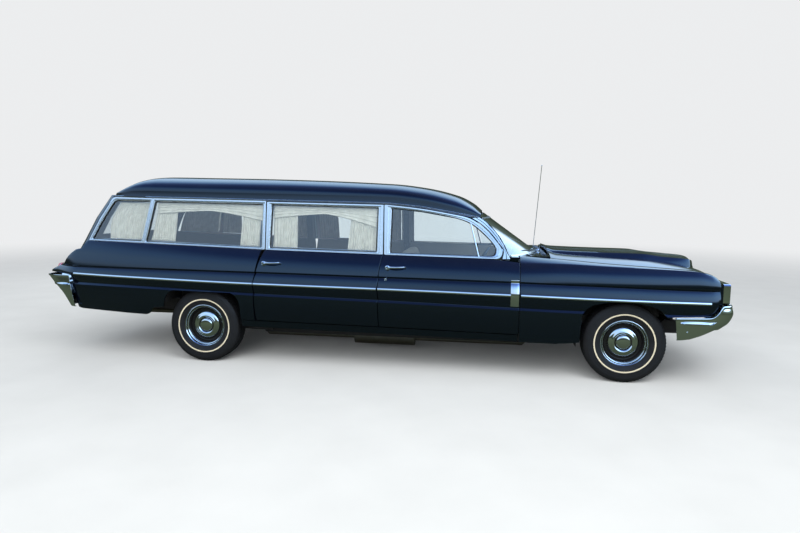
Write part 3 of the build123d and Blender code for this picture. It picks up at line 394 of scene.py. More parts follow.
def grid_faces(rows, columns, close_rows=False, close_columns=False):
    """Corner numbers of the faces between neighbouring points of a grid, row after row."""
    down = np.arange(rows if close_rows else rows - 1)[:, None]
    across = np.arange(columns if close_columns else columns - 1)[None, :]
    below, beside = (down + 1) % rows, (across + 1) % columns
    corners = [row * columns + column
               for row, column in ((down, across), (down, beside), (below, beside), (below, across))]
    return np.stack([np.broadcast_to(c, (down.size, across.size)) for c in corners], -1).reshape(-1, 4)


def skin(points):
    """An open surface through a grid of points."""
    return [(points, grid_faces(*points.shape[:2]), 0)]


def tube(points):
    """A closed outline carried along, as points[outline, way]: its wall and both its end faces."""
    rows, count = points.shape[:2]
    ends = [np.arange(rows) * count, np.arange(rows)[::-1] * count + count - 1]
    return [(points, grid_faces(rows, count, close_rows=True), 0), (points, ends, 0)]


WELD = 0.02


def made_piece(name, parts, body, materials, stands_for=(), bend=32, thick=0.0, bevel=0.0):
    """One object from (points, faces, material number) parts in millimetres, welded and seated on its body.

    Edges where faces turn by more than bend degrees stay sharp, and bevel rounds those of over 50 degrees.
    """
    shape = bmesh.new()
    for points, faces, number in parts:
        places = (np.asarray(points, float).reshape(-1, 3) * MM).tolist()
        corners = [shape.verts.new(place) for place in places]
        for face in faces:
            made = shape.faces.new([corners[k] for k in face])
            made.material_index = number
            made.smooth = True
    bmesh.ops.remove_doubles(shape, verts=shape.verts, dist=WELD * MM)
    bmesh.ops.dissolve_degenerate(shape, edges=shape.edges, dist=WELD * MM)
    bmesh.ops.recalc_face_normals(shape, faces=shape.faces)
    mesh = bpy.data.meshes.new(name)
    shape.to_mesh(mesh)
    shape.free()
    mesh.set_sharp_from_angle(angle=radians(bend))
    for material in materials:
        mesh.materials.append(material)
    made = bpy.data.objects.new(name, mesh)
    bpy.context.collection.objects.link(made)
    if bevel:
        edge = made.modifiers.new("edge", "BEVEL")
        edge.width, edge.segments = bevel * MM, 2
        edge.limit_method, edge.angle_limit = "ANGLE", radians(50)
    if thick:
        wall = made.modifiers.new("wall", "SOLIDIFY")
        wall.thickness, wall.offset = thick * MM, 0
    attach(made, body)
    if stands_for:
        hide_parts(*stands_for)
    return made


def sided(parts, flip):
    """The same parts for one side of the car: mirrored in the middle plane where flip is -1."""
    return [(np.asarray(points, float).reshape(-1, 3) * (1, flip, 1), faces, number)
            for points, faces, number in parts]


def gap_x(table, y, z, side):
    """Where a panel ends at a gap: its line at z, half a gap to one side, slid forward towards the inside."""
    levels, places = np.array(table, float).T
    slope = 0 if table is FRONT_CUT else CUT_SLOPE
    return np.interp(z, levels, places) + side * GAP / 2 + slope * (CUT_Y - y)


def door_shell(rear, front, count):
    """A door below its windows: the outer skin carried round the sill and up the inner face, its ends closed.

    Its columns run evenly from the rear gap's line to the front one's, each at u of the way.
    """
    u = np.linspace(0, 1, count)
    nominal = rear[1][1] + u * (front[1][1] - rear[1][1])
    y, z = side_rows(nominal)
    foot, belt = (y[-1], z[-1]), (y[0], z[0])
    inner_y = np.full(count, float(DOOR_INNER_Y))
    inner_foot, inner_belt = (inner_y, foot[1]), (inner_y, belt[1])
    y, z = joined((y, z), bow(foot, inner_foot, 0, 4), bow(inner_foot, inner_belt, 0, 12),
                  bow(inner_belt, belt, 0, 3))
    y, z = y[:-1], z[:-1]
    low, high = gap_x(rear, y, z, 1), gap_x(front, y, z, -1)
    points = np.stack([low + u * (high - low), y, z], -1)
    (_, faces, _), ends = tube(points)
    inner = points.reshape(-1, 3)[faces].mean(1)[:, 1] < DOOR_INNER_Y + 1
    return [(points, faces[~inner], 0), (points, faces[inner], 1), ends]


CARD = matt("door_card", (0.16, 0.15, 0.135), 0.7, scale=220, depth=0.0006, spread=0.35)
for side, flip in SIDES.items():
    for place, *lines in (("front", MIDDLE_CUT, FRONT_CUT, 72), ("rear", REAR_CUT, MIDDLE_CUT, 66)):
        door = f"{place}_door_{side}"
        made_piece(f"{place}_door_panel_{side}", sided(door_shell(*lines), flip), door,
                   [PAINT, CARD], (door,), bevel=2.2)


def arc(start, middle, end, count=12):
    """Points on the circle through three points of a side view, as (x, z) rows from start to end."""
    (a, b), (c, d), (e, f) = start, middle, end
    g = 2 * ((c - a) * (f - b) - (d - b) * (e - a))
    p, q = (c - a) ** 2 + (d - b) ** 2, (e - a) ** 2 + (f - b) ** 2
    x, z = a + ((f - b) * p - (d - b) * q) / g, b + ((c - a) * q - (e - a) * p) / g
    first, between, last = (np.arctan2(v - z, u - x) for u, v in (start, middle, end))
    turn = (last - first) % (2 * pi)
    if (between - first) % (2 * pi) > turn:
        turn -= 2 * pi
    angles = first + np.linspace(0, 1, count) * turn
    radius = np.hypot(a - x, b - z)
    return np.stack([x + radius * np.cos(angles), z + radius * np.sin(angles)], -1)


LIP = 16


def skin_grid(x, y, z, floor, edge, inner, slope):
    """A panel's skin trimmed to a lower edge floor(x) and an end edge(z), its lower rim turned in by LIP.

    Rows that would hang below the floor are laid on it, and columns that would pass the end are laid on that,
    so the trimmed edge is a clean line of points. What is left over there has no area and is welded away.
    Both ends are carried in as far as y = inner(x), the front one sliding forward by slope.
    """
    x = np.broadcast_to(x, z.shape)
    kept = np.maximum(z, floor[None, :])
    order = z[::-1]
    trimmed = np.stack([np.interp(kept[:, k], order[:, k], y[::-1, k]) for k in range(z.shape[1])], 1)
    y = np.where(z < floor[None, :], trimmed, y)
    x = edge(x, kept)
    y = np.concatenate([y, y[-1:] - LIP])
    kept, x = np.concatenate([kept, kept[-1:]]), np.concatenate([x, x[-1:]])
    points = np.stack([x, y, kept], -1)
    rear, front = points[:, :1].copy(), points[:, -1:].copy()
    for end, lean in ((rear, 0), (front, slope)):
        reach = np.maximum(end[..., 1] - inner(end[..., 0]), 0)
        end[..., 0] += lean * reach
        end[..., 1] -= reach
    return np.concatenate([rear, points, front], 1)


REAR_ARCH = np.concatenate([
    arc((-1139, 555), (-1163, 636), (-1229, 684)), arc((-1800, 693), (-1868, 640), (-1895, 530)),
    arc((-2020, 518), (-2052, 466), (-2110, 443)), [(-2792, 474), (-2828, 486), (-3200, 486)]])
QUARTER_END = ((486, -2828), (646, -2850), (724, -2866), (806, -2876), (808, -3176), (824, -3176),
               (838, -3165), (914, -2985), (960, -2950), (998, -2914), (1037, -2861), (1050, -2843),
               (1052, -2798), (1131, -2757), (1250, -2700))


def quarter_skin():
    """The rear quarter: the side's section from door gap to fin, trimmed by wheel opening and tail."""
    floor_x, floor_z = REAR_ARCH[::-1].T
    arch_foot = floor_x[-1]
    x = np.concatenate([np.linspace(-3176, -2100, 56), np.linspace(-2085, -1150, 48),
                        [arch_foot - 0.01, arch_foot + 0.01], np.linspace(-1120, -1000, 7)])
    y, z = side_rows(x)
    floor = np.where(x < arch_foot, np.interp(x, floor_x, floor_z), 0)
    level, end_x = np.array(QUARTER_END, float).T

    def edge(nominal, z):
        """Columns near the front slide onto the door gap, and none passes the line of the tail."""
        near = np.clip((nominal + 1100) / 100, 0, 1)
        front = gap_x(REAR_CUT, 985, z, -1)
        return np.maximum(nominal + near * (front + 1000), np.interp(z, level, end_x))

    return skin(skin_grid(x, y, z, floor, edge, lambda x: np.interp(x, (-3175, -2100), (640, 801)),
                          CUT_SLOPE))


for side, flip in SIDES.items():
    made_piece(f"rear_quarter_panel_{side}", sided(quarter_skin(), flip), "car_body", [PAINT],
               (f"rear_quarter_{side}",), thick=2.5)

# Front fenders, hood and roof.
# Painted steel: the fender's flank carries on the doors' lines, the hood is hinged at the cowl and raised
# along its middle, and the roof is one long pressing that drops to the tail and to the windscreen.
FENDER_COLUMNS = ("x", "seam_z", "crown_y", "crown_z", "crease_z", "wide_y", "wide_z", "step_z", "foot_z")
FENDER_ROWS = (
    (1379, 1062, 868, 1014, 864, 990, 747, 619, 340),
    (1710, 1044, 880, 1013, 858, 988, 740, 612, 340),
    (2100, 1015, 882, 1002, 851, 984, 733, 608, 400),
    (2500, 990, 880, 990, 842, 974, 727, 604, 500),
    (2800, 968, 874, 976, 836, 958, 723, 600, 500),
    (2930, 945, 866, 946, 834, 945, 721, 598, 500),
    (3006, 912, 852, 905, 833, 925, 720, 596, 500),
)
SEAM_Y = 720
FRONT_ARCH = np.concatenate([
    [(1379, 338), (1560, 338), (1730, 300), (1884, 300)], arc((1889, 464), (1917, 632), (1995, 690)),
    arc((1995, 690), (2235, 721), (2440, 690))[1:], arc((2440, 690), (2560, 622), (2612, 500))[1:-4],
    [(2634, 603), (2925, 612), (2966, 640), (2976, 716), (3010, 716)]])
FENDER_END = ((600, 2900), (640, 2966), (716, 2976), (764, 2992), (833, 2995), (902, 2990), (941, 2975),
              (1150, 2920))
# Stretches of the fender between the bends of its wheel opening. Columns: from x, to x, points
FENDER_STRETCHES = ((1382, 1884, 28), (1886, 1996, 18), (2004, 2440, 25), (2450, 2634, 20), (2650, 3006, 28))


def fender_skin():
    """The fender: a rolled seam by the hood, a crowned top, and the side's section to the wheel opening."""
    x = np.concatenate([np.linspace(*stretch) for stretch in FENDER_STRETCHES])
    seam_z, crown_y, crown_z = (smooth_column(FENDER_ROWS, FENDER_COLUMNS, name, x)
                                for name in ("seam_z", "crown_y", "crown_z"))
    seam, crown = (np.full(len(x), float(SEAM_Y)), seam_z), (crown_y, crown_z)
    crease, below = flank(x, FENDER_ROWS, FENDER_COLUMNS)
    y, z = joined(bow(seam, crown, 7, 12), bow(crown, crease, 17, 16), below)
    floor = np.interp(x, *FRONT_ARCH.T)
    level, end_x = np.array(FENDER_END, float).T
    points = skin_grid(x, y, z, floor, lambda nominal, z: np.minimum(nominal, np.interp(z, level, end_x)),
                       lambda x: np.interp(x, (2500, 3006), (824, 762)), 0)
    hem = points[:1] + (0, 0, -28)
    return skin(np.concatenate([hem, points]))


for side, flip in SIDES.items():
    made_piece(f"front_fender_panel_{side}", sided(fender_skin(), flip), "car_body", [PAINT],
               (f"front_fender_{side}",), thick=2.5)

HOOD_COLUMNS = ("x", "half_width", "edge_z", "raised_y", "valley_z", "shoulder_z", "ridge_z")
HOOD_ROWS = (
    (1650, 714, 1050, 330, 1096, 1110, 1118),
    (1720, 714, 1044, 330, 1072, 1090, 1101),
    (2142, 714, 1012, 330, 1046, 1078, 1089),
    (2500, 714, 990, 325, 1030, 1073, 1084),
    (2690, 714, 976, 315, 1008, 1049, 1064),
    (2840, 714, 962, 305, 984, 1038, 1055),
    (2930, 714, 945, 290, 960, 1028, 1047),
    (2985, 620, 928, 205, 940, 1008, 1034),
    (3026, 440, 917, 95, 924, 972, 1004),
    (3054, 170, 910, 45, 912, 918, 940),
)
HOOD_THICK = 26


def hood_shell():
    """The hood: a shallow dish each side of a raised middle with clear edges, and a folded-in rim."""
    x = np.concatenate([np.linspace(1650, 2900, 50), np.linspace(2908, 3054, 28)])
    half, edge_z, raised, valley_z, shoulder_z, ridge_z = (
        smooth_column(HOOD_ROWS, HOOD_COLUMNS, name, x) for name in HOOD_COLUMNS[1:])
    left = joined(bow((half, edge_z), (raised + 34, valley_z), -7, 18),
                  bow((raised + 34, valley_z), (raised, shoulder_z), -2.5, 7),
                  bow((raised, shoulder_z), (0 * half, ridge_z), 3.5, 14))
    over = [np.concatenate([left[0], -left[0][-2::-1]]), np.concatenate([left[1], left[1][-2::-1]])]
    y = np.concatenate([over[0], over[0][::-1] * 0.985])
    z = np.concatenate([over[1], over[1][::-1] - HOOD_THICK])
    return tube(np.stack([np.broadcast_to(x, y.shape), y, z], -1))


made_piece("hood_panel", hood_shell(), "hood", [PAINT], ("hood",), bevel=3)

ROOF_COLUMNS = ("x", "edge_y", "edge_z", "crown_z")
ROOF_ROWS = (
    (-2662, 230, 1570, 1588),
    (-2625, 470, 1570, 1594),
    (-2560, 625, 1570, 1606),
    (-2500, 690, 1570, 1630),
    (-2400, 738, 1560, 1690),
    (-2300, 750, 1558, 1737),
    (-2200, 755, 1555, 1757),
    (-2100, 758, 1553, 1762),
    (-1700, 761, 1547, 1757),
    (-1000, 765, 1537, 1746),
    (180, 765, 1518, 1703),
    (500, 762, 1489, 1666),
    (800, 753, 1438, 1594),
    (960, 744, 1409, 1512),
    (1030, 740, 1399, 1450),
)
ROOF_THICK = 34


def roof_rows(x, inset):
    """Across the roof: a short upright edge, then y = a·cos(t)^0.66 and z = b·sin(t)^0.66, and back."""
    edge_y, edge_z, crown_z = (smooth_column(ROOF_ROWS, ROOF_COLUMNS, name, x)
                               for name in ("edge_y", "edge_z", "crown_z"))
    edge_y, crown_z = edge_y - inset, crown_z - inset
    lift = np.minimum(0.28 * (crown_z - edge_z), 50) * 0.6
    t = np.linspace(0, pi / 2, 30)[:, None]
    y = (edge_y - 0.2 * lift) * np.cos(t) ** 0.66
    z = edge_z + lift + (crown_z - edge_z - lift) * np.sin(t) ** 0.66
    y, z = np.concatenate([edge_y[None], y]), np.concatenate([edge_z[None], z])
    return np.concatenate([y, -y[-2::-1]]), np.concatenate([z, z[-2::-1]])


def roof_shell():
    """The roof's outer skin and its lining, joined round the rim."""
    x = np.concatenate([-2662 + 202 * (1 - np.cos(np.linspace(0, pi / 2, 26))), np.linspace(-2448, -2000, 28),
                        np.linspace(-1980, 700, 56), np.linspace(715, 1030, 22)])
    y, z = roof_rows(x, 0)
    lining_x = np.clip(x, -2500, 985)
    lining_y, lining_z = roof_rows(lining_x, ROOF_THICK)
    outer = np.stack([np.broadcast_to(x, y.shape), y, z], -1)
    inner = np.stack([np.broadcast_to(lining_x, y.shape), lining_y, lining_z], -1)
    rows, count = y.shape
    faces = grid_faces(rows, count)
    numbers = np.arange(rows * count).reshape(rows, count)
    rim = np.concatenate([numbers[0], numbers[1:, -1], numbers[-1, -2::-1], numbers[-2:0:-1, 0]])
    both = np.concatenate([outer.reshape(-1, 3), inner.reshape(-1, 3)])
    band = np.stack([rim, np.roll(rim, -1), np.roll(rim, -1) + rows * count, rim + rows * count], -1)
    return [(both, faces, 0), (both, faces + rows * count, 1), (both, band, 0)]


LINING = matt("headlining", (0.55, 0.53, 0.49), 0.9, scale=160, depth=0.0008, spread=0.15)
made_piece("roof_panel", roof_shell(), "car_body", [PAINT, LINING], ("roof",), bend=50)

# Window frames, pillar covers and drip rails.
# Anodised strip with two rolled steps, mitred round each opening, over a black rubber lip for the glass.
FRONT_GLASS = ((244, 1076), (248, 1466), (500, 1444), (805, 1391), (929, 1350), (1006, 1298), (1072, 1238),
               (1135, 1178), (1172, 1119), (1152, 1065))
REAR_GLASS = ((-885, 1096), (-882, 1489), (108, 1470), (104, 1080))
LONG_GLASS = ((-2130, 1131), (-2056, 1505), (-976, 1490), (-976, 1100))
QUARTER_GLASS = ((-2710, 1146), (-2628, 1312), (-2498, 1513), (-2113, 1509), (-2185, 1134))
FRONT_FRAME = ((182, 1059), (169, 1504), (500, 1473), (800, 1421), (925, 1397), (1027, 1341), (1115, 1264),
               (1186, 1179), (1234, 1112), (1212, 1043))
REAR_FRAME = ((-928, 1080), (-937, 1519), (163, 1502), (173, 1060))
LONG_FRAME = ((-2158, 1117), (-2084, 1542), (-945, 1527), (-936, 1081))
QUARTER_FRAME = ((-2751, 1132), (-2666, 1318), (-2521, 1552), (-2085, 1542), (-2159, 1117))
# Columns: share of the way in from the frame's edge to the glass, depth behind its face, material
FRAME_STEPS = (
    (0.00, 34, 0), (0.00, 2.5, 0), (0.025, 0, 0), (0.36, 0, 0), (0.41, 5, 0), (0.47, 5.5, 0), (0.53, 1, 0),
    (0.76, 2, 0), (0.82, 8, 0), (0.84, 9, 1), (0.90, 10, 1), (1.00, 17, 1), (1.00, 38, 1), (0.90, 38, 0),
    (0.04, 38, 0),
)


def window_y(x, z):
    """The outer face of the window wall: a straight lean from the sill to the foot of the roof."""
    table = np.array(SIDE_ROWS, float).T
    drip_y, drip_z, belt_y, belt_z = (np.interp(x, table[0], table[k]) for k in (1, 2, 3, 4))
    return belt_y - 6 + (z - belt_z) / (drip_z - belt_z) * (drip_y - belt_y + 6)


def rounded(corners, radius, count=7):
    """A closed outline whose corners are parabolas that start and end radius away from each corner."""
    corners, radius = np.array(corners, float), np.reshape(radius, (-1, 1))

    def towards(neighbour):
        """A point on the way to the neighbour: radius along, or 0.48 of a short way."""
        way = neighbour - corners
        length = np.linalg.norm(way, axis=1, keepdims=True)
        return corners + way / length * np.minimum(radius, 0.48 * length)

    start, end = towards(np.roll(corners, 1, 0)), towards(np.roll(corners, -1, 0))
    f = np.linspace(0, 1, count)[:, None, None]
    return ((1 - f) ** 2 * start + 2 * f * (1 - f) * corners + f * f * end).transpose(1, 0, 2).reshape(-1, 2)


def filled_in(points, reach=55):
    """A closed outline with more points on its long straight runs, none further apart than reach."""
    length = np.linalg.norm(np.roll(points, -1, 0) - points, axis=1)
    count = np.maximum(1, np.ceil(length / reach)).astype(int)
    first = np.repeat(np.cumsum(count) - count, count)
    place = np.repeat(np.arange(len(points)), count)
    place = place + (np.arange(count.sum()) - first) / np.repeat(count, count)
    closed = np.concatenate([points, points[:1]])
    return np.stack([np.interp(place, np.arange(len(closed)), column) for column in closed.T], -1)


def on_side(x, z, depth):
    """Points on the window wall, set in by depth."""
    return np.stack([x, window_y(x, z) - depth, z], -1)


def window_ring(outer, inner, outer_radius, inner_radius, steps, on_wall=on_side):
    """A strip swept round a window: each step is a share of the way from outer to inner, at its own depth."""
    pair = filled_in(np.concatenate([rounded(outer, outer_radius), rounded(inner, inner_radius)], 1))
    share, depth, number = np.array(steps, float).T
    place = pair[None, :, :2] + share[:, None, None] * (pair[None, :, 2:] - pair[None, :, :2])
    points = on_wall(place[..., 0], place[..., 1], depth[:, None])
    faces = grid_faces(*points.shape[:2], close_rows=True, close_columns=True)
    kind = number.astype(int)[faces.min(1) // points.shape[1]]
    return [(points, faces[kind == k], k) for k in (0, 1)]


FRONT_BENDS = (10, 8, 400, 400, 400, 400, 400, 400, 60, 46)
QUARTER_BENDS = ((6, 90, 30, 6, 6), (14, 90, 40, 14, 14))
for side, flip in SIDES.items():
    for name, outer, inner, bends, body in (
            ("front_door_frame", FRONT_FRAME, FRONT_GLASS, (FRONT_BENDS, FRONT_BENDS), f"front_door_{side}"),
            ("rear_door_frame", REAR_FRAME, REAR_GLASS, (6, 14), f"rear_door_{side}"),
            ("long_window_frame", LONG_FRAME, LONG_GLASS, (6, 14), "car_body"),
            ("quarter_window_frame", QUARTER_FRAME, QUARTER_GLASS, QUARTER_BENDS, "car_body")):
        ring = window_ring(outer, inner, *bends, FRAME_STEPS)
        stands_for = (f"fixed_window_frame_{side}",) if name == "long_window_frame" else ()
        made_piece(f"{name}_{side}", sided(ring, flip), body, [BRIGHT, RUBBER], stands_for,
                   bend=28)


def strip_on_wall(rear_edge, front_edge, steps, count):
    """A strip on the window wall between two lines of points, with the given shares and depths across it."""
    f = np.linspace(0, len(rear_edge) - 1, count)
    knots = np.arange(len(rear_edge))
    rear, front = hermite(knots, rear_edge, f), hermite(knots, front_edge, f)
    share, depth = np.array(steps, float).T
    place = rear[None] + share[:, None, None] * (front - rear)[None]
    return tube(on_side(place[..., 0], place[..., 1], depth[:, None]))


PILLAR_REAR = ((956, 1391), (1031, 1347), (1120, 1268), (1192, 1182), (1240, 1115), (1228, 1044))
PILLAR_FRONT = ((1020, 1399), (1068, 1365), (1150, 1284), (1222, 1184), (1268, 1094), (1292, 1046))
PILLAR_STEPS = ((0, 20), (0, 1), (0.05, -1.5), (0.45, -1.5), (0.5, 1.5), (0.56, 1.5), (0.6, -1.5),
                (0.95, -1.5), (1, 1), (1, 20))
BAR_STEPS = ((0, 36), (0, 2), (0.2, 0), (0.8, 0), (1, 2), (1, 36))
for side, flip in SIDES.items():
    cover = strip_on_wall(PILLAR_REAR, PILLAR_FRONT, PILLAR_STEPS, 40)
    made_piece(f"pillar_cover_{side}", sided(cover, flip), "car_body", [BRIGHT], bend=28)
    bar = strip_on_wall(((1016, 1058), (938, 1350)), ((1029, 1056), (954, 1340)), BAR_STEPS, 12)
    made_piece(f"vent_bar_{side}", sided(bar, flip), f"front_door_{side}", [CHROME], bend=28)


def run(x, y, z, profile):
    """A moulding along the car: profile points (outward, upward) carried along the line y(x), z(x)."""
    out, up = np.array(profile, float).T[:, :, None]
    return tube(np.stack([np.broadcast_to(x, (len(profile), len(x))), y + out, z + up], -1))


DRIP = ((-8, -10), (2, -10), (4, -8), (4, -5), (1, -2), (1, 1), (3, 3), (2, 5), (-4, 5))
x = np.linspace(-2500, 1010, 150)
table = np.array(SIDE_ROWS, float).T
drip = run(x, np.interp(x, table[0], table[1]), np.interp(x, table[0], table[2]), DRIP)
for side, flip in SIDES.items():
    made_piece(f"drip_rail_{side}", sided(drip, flip), "car_body", [BRIGHT], bend=40)

# Bright trim on the sides.
# Stainless mouldings clipped to the swelling of the side, chromed push-button handles and locks.
SPEAR = ((-5, -11), (2, -11.5), (5.5, -10), (6.5, -6), (5, 2), (3, 8), (0.5, 11.5), (-5, 11))


def spear(x, rows, columns):
    """The spear moulding on the widest line of the side."""
    wide_y, wide_z = (smooth_column(rows, columns, name, x) for name in ("wide_y", "wide_z"))
    return run(x, wide_y, wide_z, SPEAR)


def side_point(x, z):
    """How far out the side is at one place."""
    y, heights = side_rows(np.array([float(x)]))
    return float(np.interp(-z, -heights[:, 0], y[:, 0]))


def turned(profile, centre, axis, count=48):
    """A profile of (radius, outward) points turned about an axis along x, y or z through a centre."""
    radius, out = np.array(profile, float).T[:, :, None]
    angle = np.linspace(0, 2 * pi, count, endpoint=False)[None, :]
    one, two, along = radius * np.cos(angle), radius * np.sin(angle), out + 0 * angle
    points = np.stack({"x": (along, one, two), "y": (one, along, -two), "z": (one, two, along)}[axis], -1)
    return [(points + np.array(centre, float), grid_faces(len(profile), count, close_columns=True), 0)]


HANDLE_LONG = 160
HOUSING = ((24, -8), (24, 1), (21, 7), (15, 10), (14, 26), (12, 29), (8, 29), (7, 26), (0, 26))
HANDLE_FOOT = ((9, -8), (9, 3), (7, 14), (5, 22), (0, 22))


def handle():
    """A door handle: a round button housing and a tapered grip that stands off the door and returns to it."""
    f = np.linspace(0, 1, 26)
    body = np.clip(np.minimum(f, 1 - f) * 7, 0, 1) ** 0.5
    stand_off = 4 + 26 * np.sin(pi * np.clip(f * 1.02, 0, 1)) ** 0.6
    centre = np.stack([6 + HANDLE_LONG * f, stand_off, 3 + 8 * f], -1)
    angle = np.linspace(0, 2 * pi, 16, endpoint=False)[:, None]
    wide, tall = (3 + 4 * body) * (1 - 0.15 * f), (4 + 7 * body) * (1 - 0.35 * f)
    grip = tube(np.stack([0 * angle + 0 * f, np.cos(angle) * wide, np.sin(angle) * tall], -1) + centre)
    return grip + turned(HOUSING, (0, 0, 0), "y") + turned(HANDLE_FOOT, (HANDLE_LONG - 2, 0, 10), "y", 24)


LOCK = ((13, -6), (13, 1), (11, 5), (7, 6), (6, 4), (0, 4))


def on_door(parts, x, z):
    """Parts made about the origin, seated on the side panel at one place."""
    return [(np.asarray(points).reshape(-1, 3) + (x, side_point(x, z), z), faces, number)
            for points, faces, number in parts]


for side, flip in SIDES.items():
    for name, body, x_low, x_high, table, columns in (
            ("rear_quarter", "car_body", -2838, -1008, SIDE_ROWS, SIDE_COLUMNS),
            ("rear_door", f"rear_door_{side}", -1000, 136, SIDE_ROWS, SIDE_COLUMNS),
            ("front_door", f"front_door_{side}", 150, 1302, SIDE_ROWS, SIDE_COLUMNS),
            ("front_fender", "car_body", 1388, 2915, FENDER_ROWS, FENDER_COLUMNS)):
        made_piece(f"{name}_spear_{side}", sided(spear(np.linspace(x_low, x_high, 80), table, columns), flip),
                   body, [CHROME], bend=40)
    lock = turned(LOCK, (0, 0, 0), "y", 32)
    for name, parts, x, z in (("rear_door_handle", handle(), -914, 961),
                              ("front_door_handle", handle(), 230, 950), ("front_door_lock", lock, 217, 848)):
        body = f"{name.rsplit('_', 1)[0]}_{side}"
        made_piece(f"{name}_{side}", sided(on_door(parts, x, z), flip), body, [CHROME])


def door_end_trim():
    """The upright plate at the front of the door: the side's section, standing 2 to 5 mm off it in a bow."""
    x = np.linspace(1302, 1372, 9)
    y, z = side_rows(x)
    inside = (z[:, 4] < 876) & (z[:, 4] > 640)
    y, z = y[inside], z[inside]
    proud = 5 - 3 * np.abs(np.linspace(-1, 1, 9)) ** 4
    outer = np.stack([np.broadcast_to(x, y.shape), y + proud, z], -1)
    inner = np.stack([np.broadcast_to(x, y.shape), y - 4, z], -1)
    return tube(np.concatenate([outer, inner[:, ::-1]], 1).swapaxes(0, 1))


for side, flip in SIDES.items():
    made_piece(f"door_end_trim_{side}", sided(door_end_trim(), flip), f"front_door_{side}",
               [CHROME], bend=45)

# Wheels, tyres and wheelhouse liners.
# Pressed steel wheels with a bright trim ring and a stamped cap, cross-ply tyres with a thin pale stripe and
# a zigzag tread, and sheet steel liners sprayed with underseal. Wheels turn about a line along Y.
AXLES = {"front": 2270, "rear": -1540}
WHEEL_Y = 775
WHEEL_Z = 346.5


def two_materials(points, faces, rows):
    """The parts of a grid closed round its columns, the given rows of faces in the second material."""
    count = points.shape[1]
    second = np.isin(faces.min(1) // count, rows)
    return [(points, faces[~second], 0), (points, faces[second], 1)]


# Sidewall from the rim to the shoulder, seen from the axle. Columns: radius, outward
SIDEWALL = ((199, 88), (215, 95.5), (232, 100), (250, 102.4), (268, 103), (290, 101.6), (312, 98),
            (326, 91.5), (338, 84))
# Rings moulded on it, as radius and height
SIDEWALL_RINGS = (
    (199, 0), (203, 0), (204.5, 1.6), (208.5, 1.6), (210, 0), (218, 0), (226, 0), (234, 0), (235.5, 1.2),
    (238, 1.2), (239.5, 0), (243.9, 0), (244.1, 0.9), (250, 1.1), (255.9, 0.9), (256.1, 0), (260, 0),
    (261.5, 1.2), (264, 1.2), (265.5, 0), (275, 0), (286, 0), (297, 0), (299, 0), (300, 1), (303, 1),
    (304, 0), (310, 0), (316, 0), (318, 0), (328, 0), (338, 0),
)
# Tread from the shoulder to the middle. Columns: outward, radius, share of the zigzag, depth of cross cuts
TREAD = ((80, 341, 0, 4), (74, 344, 0, 6), (66, 345.6, 0, 6), (60, 346, 0.5, 5), (56.5, 346, 1, 0),
         (55.5, 339.5, 1, 0), (49.5, 339.5, 1, 0), (48.5, 346.3, 1, 0), (36, 346.4, 1, 0),
         (24.5, 346.5, 1, 0), (23.5, 339.5, 1, 0), (17.5, 339.5, 1, 0), (16.5, 346.5, 1, 0),
         (8, 346.5, 1, 0), (0, 346.5, 1, 0))
BEAD = ((180, 70, 0, 0), (199, 75, 0, 0))
ZIGZAGS = 72
ZIGZAG_WIDE = 3.5
# Rows of faces that carry the stripe
STRIPE_ROWS = (14, 15)


def tyre_shell(axle_x):
    """Sidewall, tread and sidewall as rings of points: r(ring) less the cuts, out(ring) plus a triangle wave.

    The wave has four points a turn of the zigzag, and the cuts fall on every fourth point of the shoulder.
    The moulded rings are on the sidewall that faces out.
    """
    turn = np.arange(4 * ZIGZAGS) * 2 * pi / (4 * ZIGZAGS)
    wave = np.tile((0, 1, 0, -1), ZIGZAGS) * ZIGZAG_WIDE
    cut = np.tile((1, 0, 0, 0), ZIGZAGS)
    radius, raised = np.array(SIDEWALL_RINGS).T
    wall = np.stack([radius, hermite(*np.array(SIDEWALL).T, radius) + raised, 0 * radius, 0 * radius], 1)
    tread = np.array(TREAD)[:, (1, 0, 2, 3)]
    outer = np.concatenate([BEAD, wall, tread])
    inner = np.concatenate([BEAD, np.pad(SIDEWALL, ((0, 0), (0, 2))), tread])
    radius, out, share, depth = np.concatenate([outer, (inner * (1, -1, 1, 1))[-2::-1]]).T[:, :, None]
    radius, out = radius - depth * cut, out + share * wave
    points = np.stack([axle_x + radius * np.cos(turn), WHEEL_Y + out, WHEEL_Z - radius * np.sin(turn)], -1)
    faces = grid_faces(len(radius), len(turn), close_columns=True)
    return two_materials(points, faces, STRIPE_ROWS)


RIM = ((0, 14), (60, 14), (66, 22), (112, 27), (128, 25), (148, 23), (156, 26), (161, 40), (170, 60),
       (184, 76), (193, 83), (197, 83), (197, 79), (184, 75), (178, 70), (178, -70), (184, -75), (192, -79),
       (194, -83), (191, -84), (184, -80), (172, -72), (164, -60), (162, -10), (158, 6), (150, 14),
       (112, 19), (66, 13), (60, -9.5), (0, -9.5))
TRIM_RING = ((162, 40), (164, 43), (167, 49), (171, 58), (173.5, 65), (176, 70), (179, 72.5), (183, 73),
             (186, 75), (189, 80), (192, 86), (195, 88), (198, 87), (199, 84))
# Rows of faces painted black
CAP_BLACK_ROWS = (8, 9)
CAP = ((0, 67), (12, 66.8), (24, 66.2), (36, 65), (46, 63.2), (53, 61), (58, 58), (61, 54), (63, 50),
       (68, 49), (73, 50), (76, 53.5), (81, 56.5), (87, 57.6), (92, 56.8), (96, 54), (101, 52), (110, 50),
       (118, 47), (124, 43), (128.5, 38), (131, 31), (130, 27))
# Angle and distance from the axle
VALVE_AT = 0.9
VALVE_R = 170
VALVE = ((4, 30), (4, 64), (3, 66), (3.2, 67), (3.2, 78), (2, 80), (0, 80))


